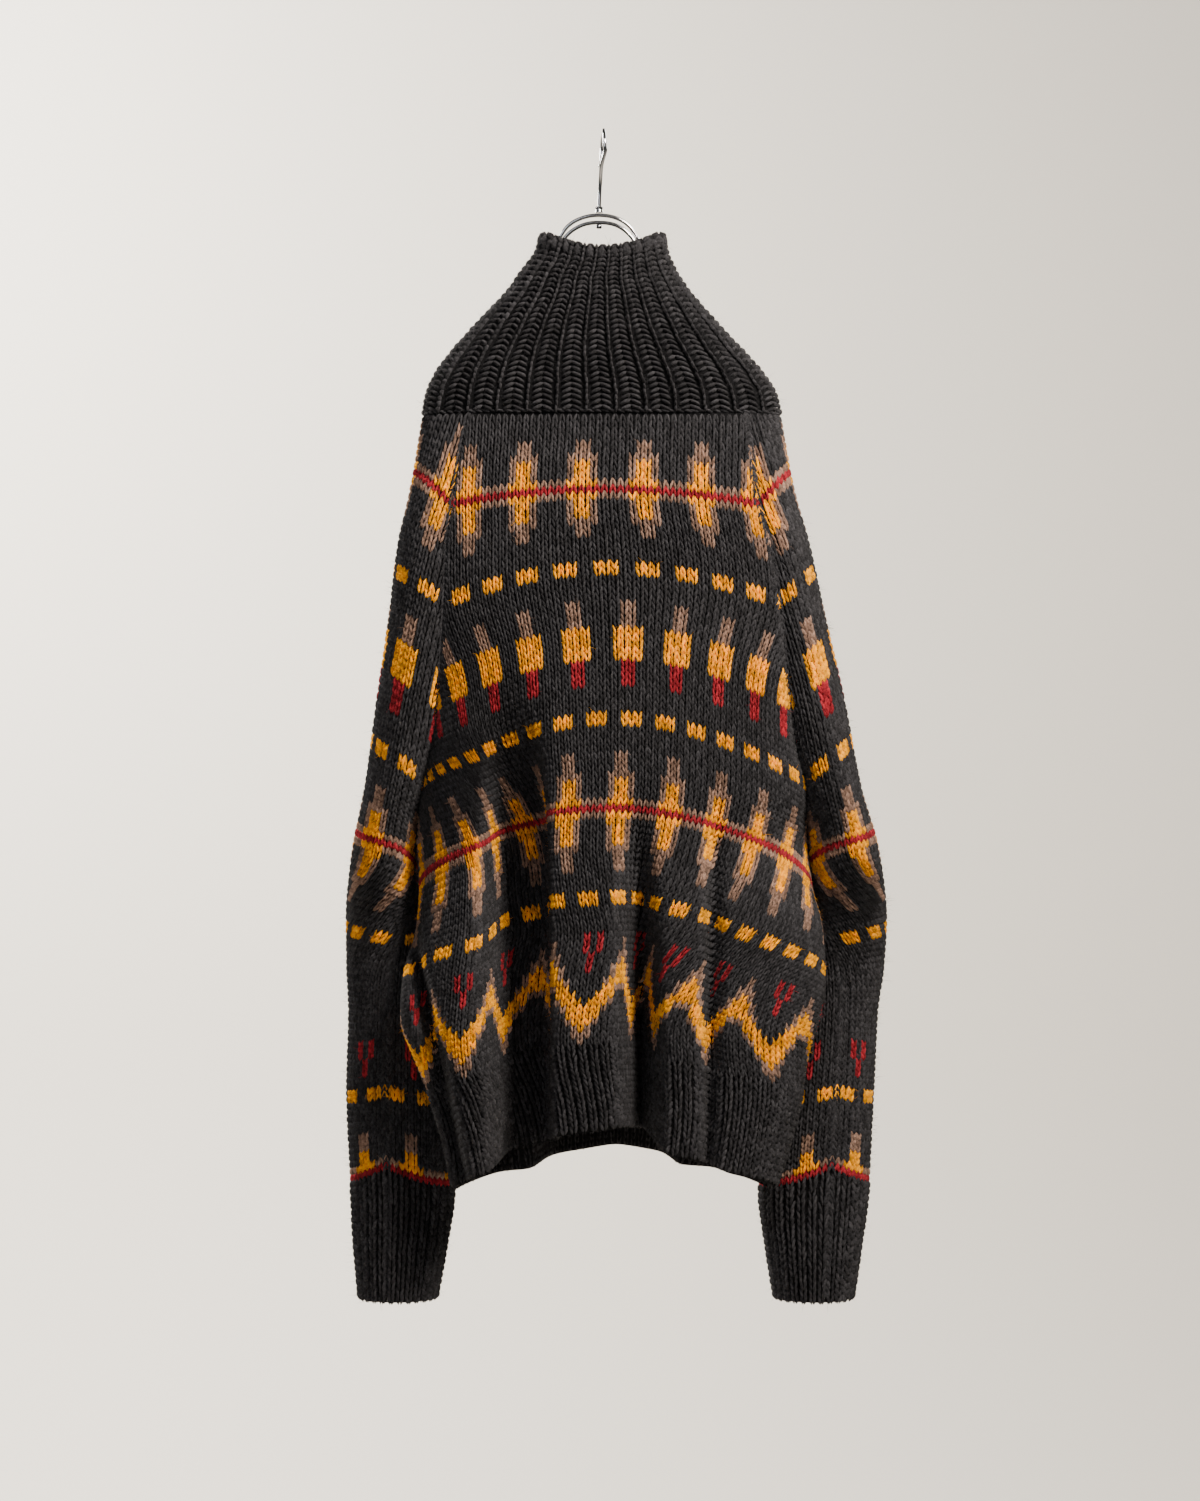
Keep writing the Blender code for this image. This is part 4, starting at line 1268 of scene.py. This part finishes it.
class SWEATER_OT_hanger(bpy.types.Operator):
    """Bend the chrome wires of the hanger and turn its boss, rivet and tip"""

    bl_idname = "sweater.hanger"
    bl_label = "Wire hanger"

    def execute(self, context):
        radius = context.scene.hanger_look.wire / MM / 2
        chrome = shared_material("polished_chrome_wire", chrome_material)
        half = len(SHOULDER_WIRE) // 2
        outer, inner = [], []
        for i, (x, outer_height, inner_height) in enumerate(SHOULDER_WIRE):
            apart = min(1.0, abs(i - half) / half * 1.25) ** 2 * WIRES_APART
            outer.append((x, apart, outer_height))
            inner.append((x, -apart, inner_height))
        left_tip = (SHOULDER_WIRE[0][0] - 4, 0, SHOULDER_WIRE[0][2] - 2)
        right_tip = (SHOULDER_WIRE[-1][0] + 4, 0, SHOULDER_WIRE[-1][2] - 2)
        loop = smooth_run(outer + [right_tip] + inner[::-1] + [left_tip], 5, True)
        shoulders = wire_mesh("shoulder_wires", loop, radius, True, chrome)

        top = SHOULDER_WIRE[half][1] + radius + SEAM_GAP
        neck = [(-3.8, 0, top + 6.3), (-3.4, 0, -58), (-2.6, -3, -46), (-1.6, -11, -34)]
        turn = np.radians(np.linspace(200, -44, 17))
        centre = radius - HOOK_RADIUS
        arc = [(0.3 - 4 * (i / 16 - 0.4), HOOK_RADIUS * math.cos(a), centre + HOOK_RADIUS * math.sin(a))
               for i, a in enumerate(turn)]
        hook = wire_mesh("hook_wire", smooth_run(neck + arc, 4, False), radius, False, chrome)

        end, before = np.array(arc[-1]), np.array(arc[-2])
        middle = end + (end - before) / np.linalg.norm(end - before) * (2.6 + SEAM_GAP)
        arc_of = np.linspace(-math.pi / 2, math.pi / 2, 13)
        ball = [(2.6 * math.cos(a), 2.6 * math.sin(a)) for a in arc_of]
        tip = turned_object("hook_tip", ball, middle, chrome)
        boss_profile = [(0, 0), (3.4, 0), (4.0, 0.6), (4.0, 1.6), (3.5, 2.2), (3.5, 3.6), (3.8, 4.2),
                        (3.8, 5.2), (3.2, 5.8), (0, 5.8)]
        boss = turned_object("swivel_boss", boss_profile, (-4, 0, top), chrome)
        rivet_profile = [(0, -4.4), (1.9, -4.2), (2.9, -3.0), (2.9, -1.2), (2.2, -0.2), (0, -0.1)]
        rivet = turned_object("swivel_rivet", rivet_profile, (-4, 0, SHOULDER_WIRE[half][2] - radius), chrome)
        for piece, node in ((shoulders, "hanger_shoulders"), (hook, "hanger_hook"), (tip, "hanger_tip"),
                            (boss, "hanger_boss"), (rivet, None)):
            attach(piece, "root")
            if node:
                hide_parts(node)
        return {"FINISHED"}


def area_light(name, place_at, aim, size, power, color):
    """A square studio light that faces a point."""
    data = bpy.data.lights.new(name, "AREA")
    data.shape, data.size, data.energy, data.color = "SQUARE", size, power, linear(color)
    light = bpy.data.objects.new(name, data)
    light.location = place_at
    light.rotation_euler = (Vector(aim) - Vector(place_at)).to_track_quat("-Z", "Y").to_euler()
    bpy.context.scene.collection.objects.link(light)


class SWEATER_OT_stage(bpy.types.Operator):
    """Set the floor, the board behind, soft lights and the camera"""

    bl_idname = "sweater.stage"
    bl_label = "Stage"

    def execute(self, context):
        look, scene = context.scene.stage_look, context.scene
        floor, wall, bend, half = -2.5, 4.4, 1.2, 6.0
        sweep = [(-5.0, floor), (wall - bend, floor)]
        sweep += [(wall - bend + bend * math.sin(a), floor + bend - bend * math.cos(a))
                  for a in np.linspace(0, math.pi / 2, 13)[1:]]
        sweep.append((wall, 3.5))
        points = [(x, y, z) for y, z in sweep for x in (-half, half)]
        faces = [(2 * i, 2 * i + 1, 2 * i + 3, 2 * i + 2) for i in range(len(sweep) - 1)]
        mesh = bpy.data.meshes.new("studio_floor")
        mesh.from_pydata(points, [], faces)
        mesh.shade_smooth()
        new_object("studio_floor", mesh, paper_material(look))

        sweater, board = (0, 0, -0.5), (0.2, wall, -0.7)
        area_light("key_light", (0.85, -1.2, 0.95), sweater, 0.5, look.key, "FFF6EC")
        area_light("fill_light", (-0.9, -2.7, 0.8), sweater, 1.4, look.fill, "F8F9FF")
        area_light("rear_light", (1.5, 2.6, 1.2), sweater, 1.2, look.rear, "FFFFFF")
        area_light("board_light", (-3.0, 1.8, 1.3), board, 1.6, look.board, "FFFAF2")
        world = bpy.data.worlds.new("studio")
        world.use_nodes = True
        world.node_tree.nodes["Background"].inputs["Color"].default_value = (*linear("F4F1EC"), 1)
        world.node_tree.nodes["Background"].inputs["Strength"].default_value = 0.08
        scene.world = world

        data = bpy.data.cameras.new("camera")
        data.sensor_fit, data.sensor_height, data.lens = "VERTICAL", 36.0, look.lens
        data.sensor_width = data.sensor_height / IMAGE_SHAPE
        camera = bpy.data.objects.new("camera", data)
        camera.location = (-0.003, -look.distance, -0.593)
        camera.rotation_euler = (math.pi / 2, 0, 0)
        scene.collection.objects.link(camera)
        scene.camera = camera
        return {"FINISHED"}


OPERATORS = (
    SWEATER_OT_body,
    SWEATER_OT_hem,
    SWEATER_OT_sleeves,
    SWEATER_OT_cuffs,
    SWEATER_OT_collar,
    SWEATER_OT_hanger,
    SWEATER_OT_stage,
)


class SWEATER_PT_panel(bpy.types.Panel):
    """Lists the sweater's pieces and their settings"""

    bl_idname = "SWEATER_PT_panel"
    bl_label = "Sweater"
    bl_space_type = "VIEW_3D"
    bl_region_type = "UI"
    bl_category = "Sweater"

    def draw(self, context):
        scene = context.scene
        for settings in (scene.sweater_look, scene.hanger_look, scene.stage_look):
            box = self.layout.box()
            for name in settings.bl_rna.properties.keys():
                if name not in ("rna_type", "name"):
                    box.prop(settings, name)
        for operator in OPERATORS:
            self.layout.operator(operator.bl_idname)


CLASSES = (SweaterLook, HangerLook, StageLook, *OPERATORS, SWEATER_PT_panel)


def register():
    for item in CLASSES:
        bpy.utils.register_class(item)
    bpy.types.Scene.sweater_look = bpy.props.PointerProperty(type=SweaterLook)
    bpy.types.Scene.hanger_look = bpy.props.PointerProperty(type=HangerLook)
    bpy.types.Scene.stage_look = bpy.props.PointerProperty(type=StageLook)


def unregister():
    del bpy.types.Scene.stage_look
    del bpy.types.Scene.hanger_look
    del bpy.types.Scene.sweater_look
    for item in reversed(CLASSES):
        bpy.utils.unregister_class(item)


def main():
    register()
    for operator in OPERATORS:
        group, name = operator.bl_idname.split(".")
        getattr(getattr(bpy.ops, group), name)()
    for strand in STRANDS:
        bpy.data.objects.remove(bpy.data.objects[strand])


if __name__ == "__main__":
    main()
